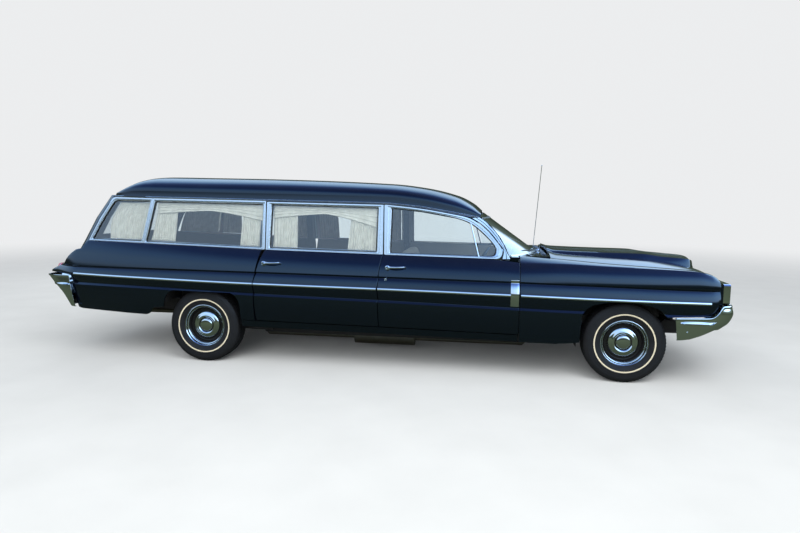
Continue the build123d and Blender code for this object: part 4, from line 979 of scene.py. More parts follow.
TYRE = matt("tyre_rubber", (0.008, 0.008, 0.009), 0.58, scale=26, depth=0.0005, spread=1.0)
STRIPE = matt("pale_tyre_stripe", (0.70, 0.64, 0.47), 0.5, scale=30, depth=0.0002, spread=0.2)
WHEEL_BLACK = plain_metal("wheel_black", (0.010, 0.010, 0.011), 0.22, scale=30, metallic=0.0)
for axle, axle_x in AXLES.items():
    for side, flip in SIDES.items():
        body = f"{axle}_wheel_{side}"
        made_piece(f"{axle}_tyre_rubber_{side}", sided(tyre_shell(axle_x), flip), body,
                   [TYRE, STRIPE], (f"{axle}_tyre_{side}",), bend=38)
        centre = (axle_x, WHEEL_Y, WHEEL_Z)
        made_piece(f"{axle}_wheel_steel_{side}", sided(turned(RIM, centre, "y", 96), flip), body,
                   [WHEEL_BLACK], (f"{axle}_wheel_{side}",), bend=28)
        made_piece(f"{axle}_trim_ring_{side}", sided(turned(TRIM_RING, centre, "y", 104), flip), body,
                   [CHROME], bend=50, thick=0.8)
        points, faces, _ = turned(CAP, centre, "y", 100)[0]
        cap = two_materials(points, faces, CAP_BLACK_ROWS)
        made_piece(f"{axle}_wheel_cap_{side}", sided(cap, flip), body, [CHROME, WHEEL_BLACK],
                   bend=40, thick=0.8)
        valve_at = (axle_x + VALVE_R * cos(VALVE_AT), WHEEL_Y, WHEEL_Z + VALVE_R * sin(VALVE_AT))
        made_piece(f"{axle}_tyre_valve_{side}", sided(turned(VALVE, valve_at, "y", 12), flip), body,
                   [RUBBER])

REAR_LINER = ((-1122, 372), (-1120, 560), (-1145, 655), (-1215, 722), (-1330, 752), (-1540, 764),
              (-1750, 757), (-1850, 716), (-1900, 650), (-1912, 570))
FRONT_LINER = ((1862, 308), (1866, 470), (1892, 648), (1970, 726), (2100, 758), (2235, 766), (2350, 760),
               (2460, 732), (2580, 665), (2640, 560))
LINER_ROUND = 30


def evenly(outline, count):
    """Points the same way apart along a smooth line through an outline's points."""
    outline = np.array(outline, float)
    reach = np.concatenate([[0], np.cumsum(np.hypot(*np.diff(outline, axis=0).T))])
    return hermite(reach, outline, np.linspace(0, reach[-1], count)).T


def liner(outline, wall_y, wall_low):
    """A liner: its outline carried from the side panel inwards, then rounded into a wall down to wall_low."""
    x, z = evenly(outline, 60)
    edge_y = np.interp(z, (300, 480, 600, 770), (908, 908, 942, 945))
    f = np.linspace(0, 1, 10)[:, None]
    y = edge_y + f * (wall_y + LINER_ROUND - edge_y)
    rolled = [np.stack([x + 0 * y, y, z + 0 * y], -1)]
    drop = np.maximum(z - wall_low, 0)
    turn = np.linspace(0, pi / 2, 6)[1:, None]
    corner = np.minimum(LINER_ROUND, drop)
    inward = wall_y + LINER_ROUND * (1 - np.sin(turn))
    rolled.append(np.stack([x + 0 * turn, inward + 0 * x, z - corner * (1 - np.cos(turn))], -1))
    down = np.linspace(0, 1, 8)[1:, None]
    rolled.append(np.stack([x + 0 * down, wall_y + 0 * down * x, z - corner - down * (drop - corner)], -1))
    return skin(np.concatenate(rolled))


for side, flip in SIDES.items():
    for axle, outline, wall_y, wall_low in (("front", FRONT_LINER, 496, 520), ("rear", REAR_LINER, 604, 372)):
        made_piece(f"{axle}_wheel_liner_{side}", sided(liner(outline, wall_y, wall_low), flip), "car_body",
                   [UNDER], thick=1.5)

# Bumpers.
# Chromed pressings bolted to the frame: a straight wing along each side, a rounded corner and a bowed front.
# Columns of the levels: z, middle_x, corner_x, side_y
FRONT_BUMPER_ROWS = ((406, 2990, 2930, 936), (500, 3085, 3020, 944), (570, 3160, 3097, 950),
                     (639, 3185, 3123, 950), (704, 3172, 3111, 940))
FRONT_BUMPER_END = ((408, 2669), (593, 2643))
FRONT_BUMPER_TOP = ((2640, 593), (2900, 602), (2930, 606), (2952, 618), (2976, 645), (2996, 682), (3012, 702),
                    (3030, 704))
FRONT_BUMPER_FOOT = ((2640, 407), (2700, 410), (2765, 420), (2847, 452), (2954, 505), (3000, 505))
REAR_BUMPER_ROWS = ((496, -2958, -2933, 936), (613, -3022, -2998, 944), (716, -3112, -3088, 942),
                    (801, -3185, -3160, 936))
REAR_BUMPER_END = ((496, -2832), (646, -2856), (724, -2872), (800, -2882))
REAR_BUMPER_TOP = ((-3200, 801), (-2800, 799))
REAR_BUMPER_FOOT = ((-3200, 497), (-2800, 497))
CORNER_LONG = 140
CORNER_WIDE = 135
RIB_OUT = 17
TOP_FLANGE = 16


def bumper_skin(rows, end, top, foot, bead, rib):
    """A bumper's face: a straight wing, a rounded corner and a bowed front, all from foot(x) to top(x).

    Where a level meets foot and top is found by repeated substitution. bead stands proud along the top edge,
    and rib is a raised band as (z, half height, start, end of its length).
    """
    levels, middles, corners, sides = np.array(rows, float).T
    ahead = 1 if middles[0] > 0 else -1
    f = np.concatenate([np.linspace(0, 1, 26), 1 + np.linspace(0, 1, 22)[1:], 2 + np.linspace(0, 1, 32)[1:]])

    def plan(z):
        """x and y at one height: the wing for f below 1, then the corner, and the front for f above 2.

        The corner is (1 − t)²·knee + 2t(1 − t)·point + t²·tip. The front bows by the square of y.
        """
        middle, corner, side_y = (hermite(levels, column, z) for column in (middles, corners, sides))
        end_x, knee_x = np.interp(z, *np.array(end, float).T), corner - ahead * CORNER_LONG
        wing, turn, front = np.clip(f, 0, 1), np.clip(f - 1, 0, 1), np.clip(f - 2, 0, 1)
        x = end_x + wing * (knee_x - end_x) + (2 * turn * (1 - turn) + turn ** 2) * (corner - knee_x)
        x = x + (middle - corner) * (1 - (1 - front) ** 2)
        x = ahead * np.maximum(ahead * x, ahead * end_x)
        return x, side_y - CORNER_WIDE * turn ** 2 - front * (side_y - CORNER_WIDE)

    low_x, low_z = np.array(foot, float).T
    high_x, high_z = np.array(top, float).T
    bottom, upper = np.full(len(f), levels[0]), np.full(len(f), levels[-1])
    for _ in range(60):
        bottom = 0.5 * bottom + 0.5 * np.interp(plan(bottom)[0], low_x, low_z)
        upper = 0.5 * upper + 0.5 * np.interp(plan(upper)[0], high_x, high_z)
    v = np.linspace(0, 1, 46)[:, None]
    z = bottom + v * (upper - bottom)
    x, y = plan(z)
    across, along = np.gradient(x, axis=1), np.gradient(y, axis=1)
    size = np.hypot(across, along) + 1e-6
    rib_z, rib_half, rib_from, rib_to = rib
    share = np.clip((f - rib_from) / (rib_to - rib_from), 0, 1)
    lens = rib_half * np.sqrt(np.clip(4 * share * (1 - share), 0, 1)) + 0.01
    fall = np.clip((rib_z + lens - z) / (2 * lens), 0, 1)
    raised = RIB_OUT * fall * (1 - fall) ** 0.3 * (lens > 1)
    proud = bead * np.exp(-((upper - z - 6) / 7) ** 2) + raised - 3
    x, y = x + ahead * np.abs(along) / size * proud, y + ahead * across / size * proud
    back = ahead * np.stack([np.abs(along[-1]), across[-1]], -1) / size[-1][:, None] * TOP_FLANGE
    foot_flange = np.stack([x[0] - ahead * 2, y[0] - 14, z[0] + 1], -1)
    top_flange = np.stack([x[-1] - back[:, 0], y[-1] - back[:, 1], z[-1] - 1], -1)
    half = np.concatenate([foot_flange[None], np.stack([x, y, z], -1), top_flange[None]])
    return skin(np.concatenate([half, (half * (1, -1, 1))[:, -2::-1]], 1))


for place, *lines, bead, rib in (
        ("front", FRONT_BUMPER_ROWS, FRONT_BUMPER_END, FRONT_BUMPER_TOP, FRONT_BUMPER_FOOT, 4,
         (556, 14, 0.12, 0.98)),
        ("rear", REAR_BUMPER_ROWS, REAR_BUMPER_END, REAR_BUMPER_TOP, REAR_BUMPER_FOOT, 3,
         (714, 10, 0.06, 2.9))):
    made_piece(f"{place}_bumper_face", bumper_skin(*lines, bead, rib), "car_body", [CHROME],
               (f"{place}_bumper",), thick=3, bend=40)
BOLT = ((10, -6), (10, 1), (8.5, 4), (5, 6), (0, 6.6))
bolts = [part for flip in (1, -1) for part in
         sided(turned(BOLT, (2742, 936, 478), "y", 20) + turned(BOLT, (3148, 430, 590), "x", 20), flip)]
made_piece("front_bumper_bolts", bolts, "car_body", [CHROME])

# Lamps.
# Sealed beam units behind a fluted glass, each held in its bezel by a bright ring over a silvered bowl.
LAMPS = ((560, 3076), (775, 3067))
LAMP_Z = 794
LAMP_R = 73
FLUTE = 9


def lamp_glass(y, x):
    """The front glass: a dome x = 1 − 12·(r/R)³ less upright flutes, each a half wave across FLUTE."""
    radius = np.linspace(0, 1, 20)[:, None] ** 0.8 * (LAMP_R - 3)
    turn = np.linspace(0, 2 * pi, 108, endpoint=False)
    across, up = radius * np.cos(turn), radius * np.sin(turn)
    flutes = 0.9 * np.abs(np.sin(pi * across / FLUTE)) * (radius < 62)
    points = np.stack([x + 1 - 12 * (radius / LAMP_R) ** 3 - flutes, y + across, LAMP_Z + up], -1)
    return [(points, grid_faces(*points.shape[:2], close_columns=True), 0)]


LENS = clear_glass("lamp_glass", (0.9, 0.92, 0.92), 0.02)
BOWL = ((71, -12), (68, -16), (58, -30), (44, -40), (28, -46), (10, -47), (9, -34), (6, -28), (0, -27))
RING = ((71, -14), (70, -7), (72, -3), (75, -2), (79, -5), (80, -12), (78, -18))
for side, flip in SIDES.items():
    glass, bright = [], []
    for y, x in LAMPS:
        glass += lamp_glass(y, x)
        bright += turned(BOWL, (x, y, LAMP_Z), "x", 64) + turned(RING, (x, y, LAMP_Z), "x", 64)
    made_piece(f"headlamp_glass_{side}", sided(glass, flip), "car_body", [LENS],
               ("headlamps",) if side == "left" else (), thick=1.2, bend=50)
    made_piece(f"headlamp_bowls_{side}", sided(bright, flip), "car_body", [CHROME], thick=0.8,
               bend=50)

# Drapes.
# Cream cloth gathered on rods inside the rear windows: a pleated panel at each end, a valance of long soft
# folds across the top, and one full panel in the quarter window. Each is cut about half as wide again.
DRAPE_IN = 60
VALANCE_IN = 46
PLEAT = 25
ROD_R = 4


def weave():
    """Shared effect: threads crossing at right angles, as a height and a tone. Used by drapes and seats."""
    group = bpy.data.node_groups.new("weave", "ShaderNodeTree")
    group.interface.new_socket("Place", in_out="INPUT", socket_type="NodeSocketVector")
    group.interface.new_socket("Threads", in_out="INPUT", socket_type="NodeSocketFloat").default_value = 200.0
    for label in ("Height", "Tone"):
        group.interface.new_socket(label, in_out="OUTPUT", socket_type="NodeSocketFloat")
    enter, leave = group.nodes.new("NodeGroupInput"), group.nodes.new("NodeGroupOutput")
    place, threads = enter.outputs["Place"], enter.outputs["Threads"]
    one, two = (node(group, "ShaderNodeTexWave", {"Vector": place, "Scale": threads, "Distortion": 0.4},
                     bands_direction=direction).outputs["Fac"] for direction in ("X", "Y"))
    slub = node(group, "ShaderNodeTexNoise", {"Vector": place, "Scale": 18.0, "Detail": 5.0}).outputs["Fac"]
    group.links.new(arithmetic(group, "MAXIMUM", one, two), leave.inputs["Height"])
    group.links.new(slub, leave.inputs["Tone"])
    return group


weave_group = weave()


def cloth(name, dark, light, threads, coordinates, depth, sheen):
    """Woven cloth: a slubby tone between two colours, crossing threads as bump, and a soft sheen."""
    material, tree, output = new_material(name)
    place = node(tree, "ShaderNodeTexCoord").outputs[coordinates]
    made = node(tree, "ShaderNodeGroup", {"Place": place, "Threads": threads}, node_tree=weave_group).outputs
    tone = two_tones(tree, made["Tone"], dark, light, 0.3, 0.7)
    bump = node(tree, "ShaderNodeBump", {"Height": made["Height"], "Distance": depth, "Strength": 0.7})
    principled(tree, output, Base_Color=tone, Roughness=0.85, Sheen_Weight=sheen,
               Normal=bump.outputs["Normal"])
    return material


DRAPE_CLOTH = cloth("drape_cloth", (0.56, 0.53, 0.46), (0.71, 0.68, 0.61), 230.0, "UV", 0.0003, 0.25)


def cloth_sheet(name, points, body, stands_for=()):
    """A sheet from a grid of points in millimetres. Returns the piece and its cut size in metres.

    The cut size is the mean length of its rows, and its area over that. Its UV map is in metres of cloth.
    """
    rows, columns = points.shape[:2]
    across = np.linalg.norm(np.diff(points, axis=1), axis=-1)
    down = np.linalg.norm(np.diff(points, axis=0), axis=-1)
    diagonals = points[1:, 1:] - points[:-1, :-1], points[1:, :-1] - points[:-1, 1:]
    area = float(np.linalg.norm(np.cross(*diagonals), axis=-1).sum() / 2) * MM * MM
    u = np.concatenate([[0], np.cumsum(across.mean(0))]) * MM
    v = np.concatenate([[0], np.cumsum(down.mean(1))]) * MM
    mesh = bpy.data.meshes.new(name)
    mesh.from_pydata((points.reshape(-1, 3) * MM).tolist(), [], grid_faces(rows, columns).tolist())
    corner = np.empty(len(mesh.loops), int)
    mesh.loops.foreach_get("vertex_index", corner)
    uv = np.stack([u[corner % columns], v[corner // columns]], -1)
    mesh.uv_layers.new(name="cloth").data.foreach_set("uv", uv.astype(np.float32).ravel())
    mesh.polygons.foreach_set("use_smooth", np.ones(len(mesh.polygons), bool))
    mesh.materials.append(DRAPE_CLOTH)
    made = bpy.data.objects.new(name, mesh)
    bpy.context.collection.objects.link(made)
    wall = made.modifiers.new("cloth", "SOLIDIFY")
    wall.thickness, wall.offset = 0.8 * MM, 0
    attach(made, body)
    if stands_for:
        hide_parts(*stands_for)
    return made, (round(float(u[-1]), 3), round(area / float(u[-1]), 3))


def drape_panel(rear, front, bulge, rows, seed):
    """A pleated panel between two edges given from top to bottom, as rows of points.

    Depth is a·(sin p + 0.3·sin 2p), the phase p running one turn a pleat and swaying slowly down the cloth.
    """
    v = np.linspace(0, 1, rows)[:, None]
    (x_a, z_a), (x_b, z_b) = rear
    (x_c, z_c), (x_d, z_d) = front
    pleats = round(max(abs(x_c - x_a), abs(x_d - x_b)) / PLEAT)
    s = np.linspace(0, 1, pleats * 10 + 1)[None, :]
    left_x, left_z = x_a + v * (x_b - x_a) - bulge * np.sin(pi * v), z_a + v * (z_b - z_a)
    right_x, right_z = x_c + v * (x_d - x_c), z_c + v * (z_d - z_c)
    uneven = s + 0.012 * np.sin(9 * s + seed) * (1 + 0.6 * np.sin(3 * v + seed))
    phase = 2 * pi * pleats * uneven + 0.7 * np.sin(2.6 * v + 5 * s + seed)
    tall = 6.2 * (0.5 + 0.5 * np.sqrt(v)) * (1 + 0.2 * np.sin(17 * s + 2 * seed))
    depth = DRAPE_IN + tall * (np.sin(phase) + 0.3 * np.sin(2 * phase + 1)) - 0.2 * tall
    x, z = left_x + s * (right_x - left_x) + 1.8 * np.sin(2 * phase), left_z + s * (right_z - left_z)
    return np.stack([x, window_y(x, z) - depth, z], -1)


def valance(rear, front, drops):
    """A swag: the lower edge hangs by drops at the rear, middle and front, and four long folds run across it.

    Depth rises and falls as the sine of 2π·4·v, steepest just under each fold, and fades towards the rods.
    """
    s, v = np.linspace(0, 1, 60)[None, :], np.linspace(0, 1, 49)[:, None]
    x = rear[0] + s * (front[0] - rear[0]) + 0 * v
    top = rear[1] + s * (front[1] - rear[1])
    blend = np.abs(2 * s - 1) ** 1.25
    sag = drops[1] + blend * (np.where(s < 0.5, drops[0], drops[2]) - drops[1])
    fold = 2 * pi * 4 * v ** 0.95 + 0.6 * np.sin(3.5 * s * pi) * v
    depth = VALANCE_IN + 2.6 * np.sin(fold) + 1.3 * np.sin(2 * fold + 1) + 1.2 * np.sin(31 * s) * v
    z = top - v * sag - 0.4 * np.cos(fold)
    return np.stack([x, window_y(x, z) - depth, z], -1)


def rod(start, end, depth):
    """A curtain rod: a circle of radius ROD_R carried along a straight line."""
    f, turn = np.linspace(0, 1, 30)[None, :], np.linspace(0, 2 * pi, 12, endpoint=False)[:, None]
    x, z = start[0] + f * (end[0] - start[0]) + 0 * turn, start[1] + f * (end[1] - start[1]) + 0 * turn
    points = np.stack([x, window_y(x, z) - depth + ROD_R * np.cos(turn), z + ROD_R * np.sin(turn)], -1)
    return [(points, grid_faces(*points.shape[:2], close_rows=True), 0)]


# For each window: its body, the rear and front panel's edges from top to bottom with their bulge and count
# of rows, the valance's ends and drops, and the lower rod's ends
DRAPES = {
    "long": ("car_body", (((-2046, 1494), (-2112, 1138)), ((-1842, 1490), (-1862, 1132)), 0, 26),
             (((-1190, 1482), (-1200, 1103)), ((-984, 1479), (-984, 1098)), 0, 26),
             ((-2050, 1501), (-980, 1486), (108, 66, 146)), ((-2130, 1133), (-980, 1098))),
    "rear_door": ("rear_door_{}", (((-880, 1476), (-880, 1098)), ((-650, 1474), (-644, 1094)), 0, 36),
                  (((-140, 1466), (-165, 1088)), ((100, 1460), (100, 1084)), 0, 26),
                  ((-882, 1482), (102, 1464), (116, 62, 170)), ((-882, 1100), (102, 1084))),
}
# The quarter window's drape is drawn further on the left. Its free edge and bulge
QUARTER_EDGE = {"left": (((-2484, 1500), (-2656, 1146)), 14), "right": (((-2462, 1500), (-2560, 1146)), 48)}
VALANCE_STANDS_FOR = {("rear_door", "left"): ("rear_door_drape_left",), ("long", "left"): ("fixed_drapes",),
                      ("rear_door", "right"): ("rear_door_drape_right",)}
for side, flip in SIDES.items():
    mirrored = np.array((1, flip, 1))
    for window, (body, rear_panel, front_panel, swag, foot) in DRAPES.items():
        body = body.format(side)
        (rear_x, rear_z), (front_x, front_z), _ = swag
        hung = [cloth_sheet(f"{window}_rear_panel_{side}", drape_panel(*rear_panel, 1.0) * mirrored, body),
                cloth_sheet(f"{window}_front_panel_{side}", drape_panel(*front_panel, 2.3) * mirrored, body),
                cloth_sheet(f"{window}_valance_{side}", valance(*swag) * mirrored, body,
                            VALANCE_STANDS_FOR.get((window, side), ()))]
        rods = rod((rear_x + 4, rear_z - 6), (front_x - 4, front_z - 6), DRAPE_IN) + rod(*foot, DRAPE_IN)
        rails = made_piece(f"{window}_drape_rods_{side}", sided(rods, flip), body, [BRIGHT])
    free_edge, bulge = QUARTER_EDGE[side]
    points = drape_panel(free_edge, ((-2098, 1494), (-2170, 1140)), bulge, 32, 0.4)
    drape, cut = cloth_sheet(f"quarter_panel_{side}", points * mirrored, "car_body")
    rods = rod((-2486, 1501), (-2100, 1494), DRAPE_IN) + rod((-2660, 1147), (-2172, 1140), DRAPE_IN)
    rails = made_piece(f"quarter_drape_rods_{side}", sided(rods, flip), "car_body", [BRIGHT])

# Bench seat.
# Foam over a steel frame under woven cloth: a cushion and a leaning back, each with upright sewn channels
# and a plain roll along its edge.
SEAT_CLOTH = cloth("seat_cloth", (0.40, 0.37, 0.32), (0.55, 0.52, 0.46), 120.0, "Object", 0.0006, 0.3)


CHANNEL = 80
SEAM = 9
SEAM_HALF = 570
BORDER_IN = 66
BLOWN_UP = 12
VOXEL = 0.0185


def stuffed(name, size, round_edge, place, node_name, axis):
    """A pad blown up from a rounded block by cloth simulation, then pressed in along its sewn channels.

    place turns and moves it. Points stay within the block's size and BLOWN_UP of their start. On the face
    that looks up the axis each channel is a dip of SEAM·exp(−(distance/SEAM)²), and the border is 8 mm deep.
    """
    shape = bmesh.new()
    bmesh.ops.create_cube(shape, size=1)
    for corner in shape.verts:
        corner.co = Vector([corner.co[k] * (size[k] - 16) * MM for k in range(3)])
    bmesh.ops.bevel(shape, geom=shape.edges[:], offset=round_edge * MM, segments=5, profile=0.5,
                    affect="EDGES")
    mesh = bpy.data.meshes.new(name)
    shape.to_mesh(mesh)
    shape.free()
    made = bpy.data.objects.new(name, mesh)
    bpy.context.collection.objects.link(made)
    remesh = made.modifiers.new("voxels", "REMESH")
    remesh.mode, remesh.voxel_size = "VOXEL", VOXEL

    def applied():
        """Replaces the mesh by what its modifiers make of it."""
        shown = made.evaluated_get(bpy.context.evaluated_depsgraph_get())
        baked = bpy.data.meshes.new_from_object(shown)
        made.modifiers.clear()
        made.data = baked

    def corners():
        """The mesh's points in millimetres."""
        places = np.empty(3 * len(made.data.vertices))
        made.data.vertices.foreach_get("co", places)
        return places.reshape(-1, 3) / MM

    applied()
    before = corners()
    air = made.modifiers.new("air", "CLOTH")
    air.settings.use_pressure, air.settings.uniform_pressure_force = True, 4.0
    air.settings.effector_weights.gravity = 0
    air.settings.quality = 4
    for step in range(1, 21):
        bpy.context.scene.frame_set(step)
    applied()
    bpy.context.scene.frame_set(1)
    moved = corners() - before
    far = np.linalg.norm(moved, axis=1, keepdims=True)
    points = before + moved * np.minimum(1, BLOWN_UP / np.maximum(far, 1e-6))
    points = np.clip(points, -np.array(size) / 2, np.array(size) / 2)
    made.data.vertices.foreach_set("co", (points * MM).ravel())
    finer = made.modifiers.new("finer", "SUBSURF")
    finer.levels = finer.render_levels = 1
    applied()
    points = corners()
    other = 2 - axis
    from_edge, across = size[other] / 2 - np.abs(points[:, other]), np.abs(points[:, 1])
    on_face = np.clip((points[:, axis] - size[axis] / 2 + 40) / 20, 0, 1)
    inside = np.clip((from_edge - 70) / 12, 0, 1)
    beside = np.abs((points[:, 1] + CHANNEL / 2) % CHANNEL - CHANNEL / 2)
    seam = np.exp(-(beside / SEAM) ** 2) * (across < SEAM_HALF)
    border = np.exp(-((from_edge - BORDER_IN) / 8) ** 2) * (across < SEAM_HALF + 20)
    points[:, axis] -= on_face * np.maximum(SEAM * seam * inside, 8 * border)
    points = np.array(place.to_3x3()) @ points.T + np.array(place.translation)[:, None]
    made.data.vertices.foreach_set("co", (points.T * MM).ravel())
    made.data.polygons.foreach_set("use_smooth", np.ones(len(made.data.polygons), bool))
    made.data.materials.clear()
    made.data.materials.append(SEAT_CLOTH)
    made.data.update()
    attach(made, "car_body")
    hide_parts(node_name)


lean = Matrix.Translation((300, 0, 760)) @ Matrix.Rotation(radians(-12), 4, "Y")
stuffed("seat_cushion_pad", (570, 1340, 166), 36, Matrix.Translation((615, 0, 487)), "seat_cushion", 2)
stuffed("seat_back_pad", (150, 1340, 556), 40, lean, "seat_back", 0)

# Dashboard and steering wheel.
# Painted steel with a padded top, dials and knobs in its face; a thin-rimmed wheel with a horn ring.
GRAINED = matt("grained_vinyl", (0.022, 0.024, 0.028), 0.5, scale=420, depth=0.0006, spread=0.5)
DASH = matt("dash_paint", (0.16, 0.17, 0.19), 0.35, scale=90, depth=0.0002, spread=0.2)
PLASTIC = matt("black_plastic", (0.015, 0.015, 0.016), 0.25, scale=120, depth=0.0001)
WHEEL_AT = (1010, 370, 880)
WHEEL_TILT = 58
DASH_HALF = 689
PAD_FROM = 966


def dash_face():
    """The dashboard's section carried across the car: pad, brow, sloping face and knee roll."""
    section = ((1449, 990), (1440, 999), (1400, 1000), (1300, 998), (1276, 994), (1264, 984), (1264, 972),
               (1276, 964), (1282, 950), (1288, 900), (1282, 868), (1270, 852), (1264, 838), (1266, 822),
               (1276, 808), (1292, 802), (1380, 801), (1440, 804), (1449, 812))
    x, z = evenly(section, 90)
    y = np.linspace(-DASH_HALF, DASH_HALF, 60)
    points = np.stack(np.broadcast_arrays(x[:, None], y[None, :], z[:, None]), -1)
    (_, faces, _), (_, ends, _) = tube(points)
    pad = z[faces[:, 0] // len(y)] > PAD_FROM
    return [(points, faces[pad], 0), (points, faces[~pad], 1), (points, ends, 1)]


made_piece("dashboard_panel", dash_face(), "car_body", [GRAINED, DASH], ("dashboard",), bend=50)
DIAL_Y = (300, 440)
DIAL = ((0, -18.5), (40, -18), (41, -14), (44, -11), (48, -10), (50, -12), (51, -2))
DIAL_FACE = ((0, -21), (38, -21))
KNOB_Y = (60, 120, -20, 210)
KNOB = ((0, -26), (9, -26), (11, -24), (11, -10), (6, -8), (6, 2))
dials = [part for y in DIAL_Y for part in turned(DIAL, (1293, y, 915), "x", 48)]
dials += [part for y in KNOB_Y for part in turned(KNOB, (1290, y, 885), "x", 24)]
made_piece("instruments_and_knobs", dials, "car_body", [CHROME], thick=0.6, bend=40)
dial_faces = [part for y in DIAL_Y for part in turned(DIAL_FACE, (1293, y, 915), "x", 48)]
made_piece("dial_faces", dial_faces, "car_body", [PLASTIC])


def ring(major, minor, offset=0, start=0.0, sweep=2 * pi, count=96):
    """A ring or part of one about the steering axis, in the wheel's own frame."""
    closed = sweep > 6.28
    turn = start + np.linspace(0, sweep, count, endpoint=not closed)[None, :]
    around = np.linspace(0, 2 * pi, 14, endpoint=False)[:, None]
    radius, height = major + minor * np.cos(around), offset + minor * np.sin(around)
    points = np.stack([radius * np.cos(turn), radius * np.sin(turn), height + 0 * turn], -1)
    return [(points, grid_faces(*points.shape[:2], close_rows=True, close_columns=closed), 0)]


def spoke(flip):
    """A flat spoke from hub to rim that widens at both ends."""
    f, around = np.linspace(0, 1, 20)[None, :], np.linspace(0, 2 * pi, 14, endpoint=False)[:, None]
    wide, thick = 9 + 9 * (2 * f - 1) ** 2, 4 + 2 * (1 - f)
    points = np.stack([wide * np.cos(around), flip * (28 + 166 * f) + 0 * around,
                       -16 + 16 * f ** 1.5 + thick * np.sin(around)], -1)
    return [(points, grid_faces(*points.shape[:2], close_rows=True), 0)]


def at_wheel(parts):
    """Parts in the wheel's own frame put in their place, tilted back by WHEEL_TILT degrees."""
    tilt = radians(-WHEEL_TILT)
    turn = np.array(((cos(tilt), 0, sin(tilt)), (0, 1, 0), (-sin(tilt), 0, cos(tilt))))
    return [(points.reshape(-1, 3) @ turn.T + WHEEL_AT, faces, number) for points, faces, number in parts]


HUB = ((0, -14), (26, -15), (33, -20), (34, -30), (30, -44), (24, -60), (22, -80), (22, -540), (0, -540))
HORN_BUTTON = ((0, -9), (14, -9.5), (22, -12), (25, -16))
black = ring(196, 10.5) + spoke(1) + spoke(-1) + turned(HUB, (0, 0, 0), "z", 40)
made_piece("steering_wheel_rim", at_wheel(black), "car_body", [PLASTIC], ("steering_wheel",),
           bend=50)
horn = ring(128, 3.2, -12, 0.25, 2 * pi - 0.5) + turned(HORN_BUTTON, (0, 0, 0), "z", 40)
made_piece("horn_ring", at_wheel(horn), "car_body", [CHROME], thick=0.4, bend=50)

# Windscreen surround, wipers, cowl vents, hood lip and door mirror.
# Stainless mouldings pressed over the rubber round the glass, chromed wiper arms with rubber blades, and a
# louvred air intake between the glass and the hood.
SCREEN_LOW = (1064, 1562, 1292, 826)
SCREEN_HIGH = (1424, 1060, 1018, 722)


def screen_x(y, z):
    """How far forward the windscreen is: its middle less a bow by the square of y, straight over height."""
    f = (z - SCREEN_LOW[0]) / (SCREEN_HIGH[0] - SCREEN_LOW[0])
    ends = zip(SCREEN_LOW[1:], SCREEN_HIGH[1:])
    middle, corner_x, corner_y = (low + f * (high - low) for low, high in ends)
    return middle + (corner_x - middle) * (y / corner_y) ** 2


def swept(path, radius, sides=10):
    """A bar of round section: circles of the given radius set square to a path of points, its ends closed."""
    path = np.asarray(path, float)
    ahead = np.gradient(path, axis=0)
    ahead /= np.linalg.norm(ahead, axis=1, keepdims=True)
    across = np.cross(ahead, (0, 0, 1.0))
    across /= np.linalg.norm(across, axis=1, keepdims=True)
    upward = np.cross(across, ahead)
    turn = np.linspace(0, 2 * pi, sides, endpoint=False)[:, None, None]
    radius = np.broadcast_to(radius, len(path))[None, :, None]
    return tube(path + radius * (np.cos(turn) * across + np.sin(turn) * upward))


def screen_moulding(z, half, profile):
    """A moulding along the edge of the glass: its profile carried across the car at one level."""
    y = np.linspace(-half, half, 80)
    out, up = np.array(profile, float).T[:, :, None]
    return tube(np.stack(np.broadcast_arrays(screen_x(y, z + up) + out, y, z + up), -1))


EDGE = ((-2, -5), (6, -5), (9, -1), (8, 5), (3, 9), (-1, 9))
mouldings = screen_moulding(1068, 812, EDGE) + screen_moulding(1388, 700, EDGE)
made_piece("windscreen_moulding", mouldings, "car_body", [BRIGHT], bend=40)
WIPER_PIVOTS = (500, -120)
PIVOT = ((16, -16), (16, 0), (14, 6), (9, 11), (0, 13))
arms, blades = [], []
for pivot_y in WIPER_PIVOTS:
    y, z = pivot_y - np.linspace(-20, 430, 40), np.linspace(1080, 1098, 40)
    blades += swept(np.stack([screen_x(y, z) + 5, y, z], -1), 4)
    arms += swept(np.stack([screen_x(y, z) + 11, y, z + 3], -1), 2.6)
    f = np.linspace(0, 1, 24)
    y, z = pivot_y - 205 * f, 1075 + 16 * f
    arms += swept(np.stack([screen_x(y, z) + 26 - 14 * f, y, z + 8 * np.sin(pi * f)], -1), 6 - 3 * f)
    arms += turned(PIVOT, (screen_x(pivot_y, 1062) + 30, pivot_y, 1072), "z", 28)
made_piece("wiper_arms", arms, "car_body", [CHROME])
made_piece("wiper_blades", blades, "car_body", [RUBBER])


SLOTS = 46
INTAKE_HALF = 560


def louvres():
    """The air intake: a plate with SLOTS across it, each a rounded wave 5 mm tall that fades at both ends."""
    y, x = np.meshgrid(np.linspace(-INTAKE_HALF, INTAKE_HALF, SLOTS * 8 + 1), np.linspace(0, 1, 10))
    front = 1642 - 14 * (y / INTAKE_HALF) ** 2
    fade = np.clip(5 * np.minimum(x, 1 - x), 0, 1) ** 0.5
    wave = np.maximum(np.sin(pi * SLOTS * (y / INTAKE_HALF + 1)), 0) ** 0.6 * fade
    return skin(np.stack([front - 44 * (1 - x), y, 1063 + 5 * wave], -1))


made_piece("cowl_vents", louvres(), "car_body", [PAINT], thick=1, bend=60)


def hood_lip():
    """A bright strip folded over the front edge of the hood, from one side round the nose to the other."""
    x = np.linspace(2935, 3053, 60)
    half, level = (smooth_column(HOOD_ROWS, HOOD_COLUMNS, name, x) for name in ("half_width", "edge_z"))
    line = np.stack([x, half, level - 7], -1)
    return swept(np.concatenate([line, (line * (1, -1, 1))[::-1]]), 5.5, 12)


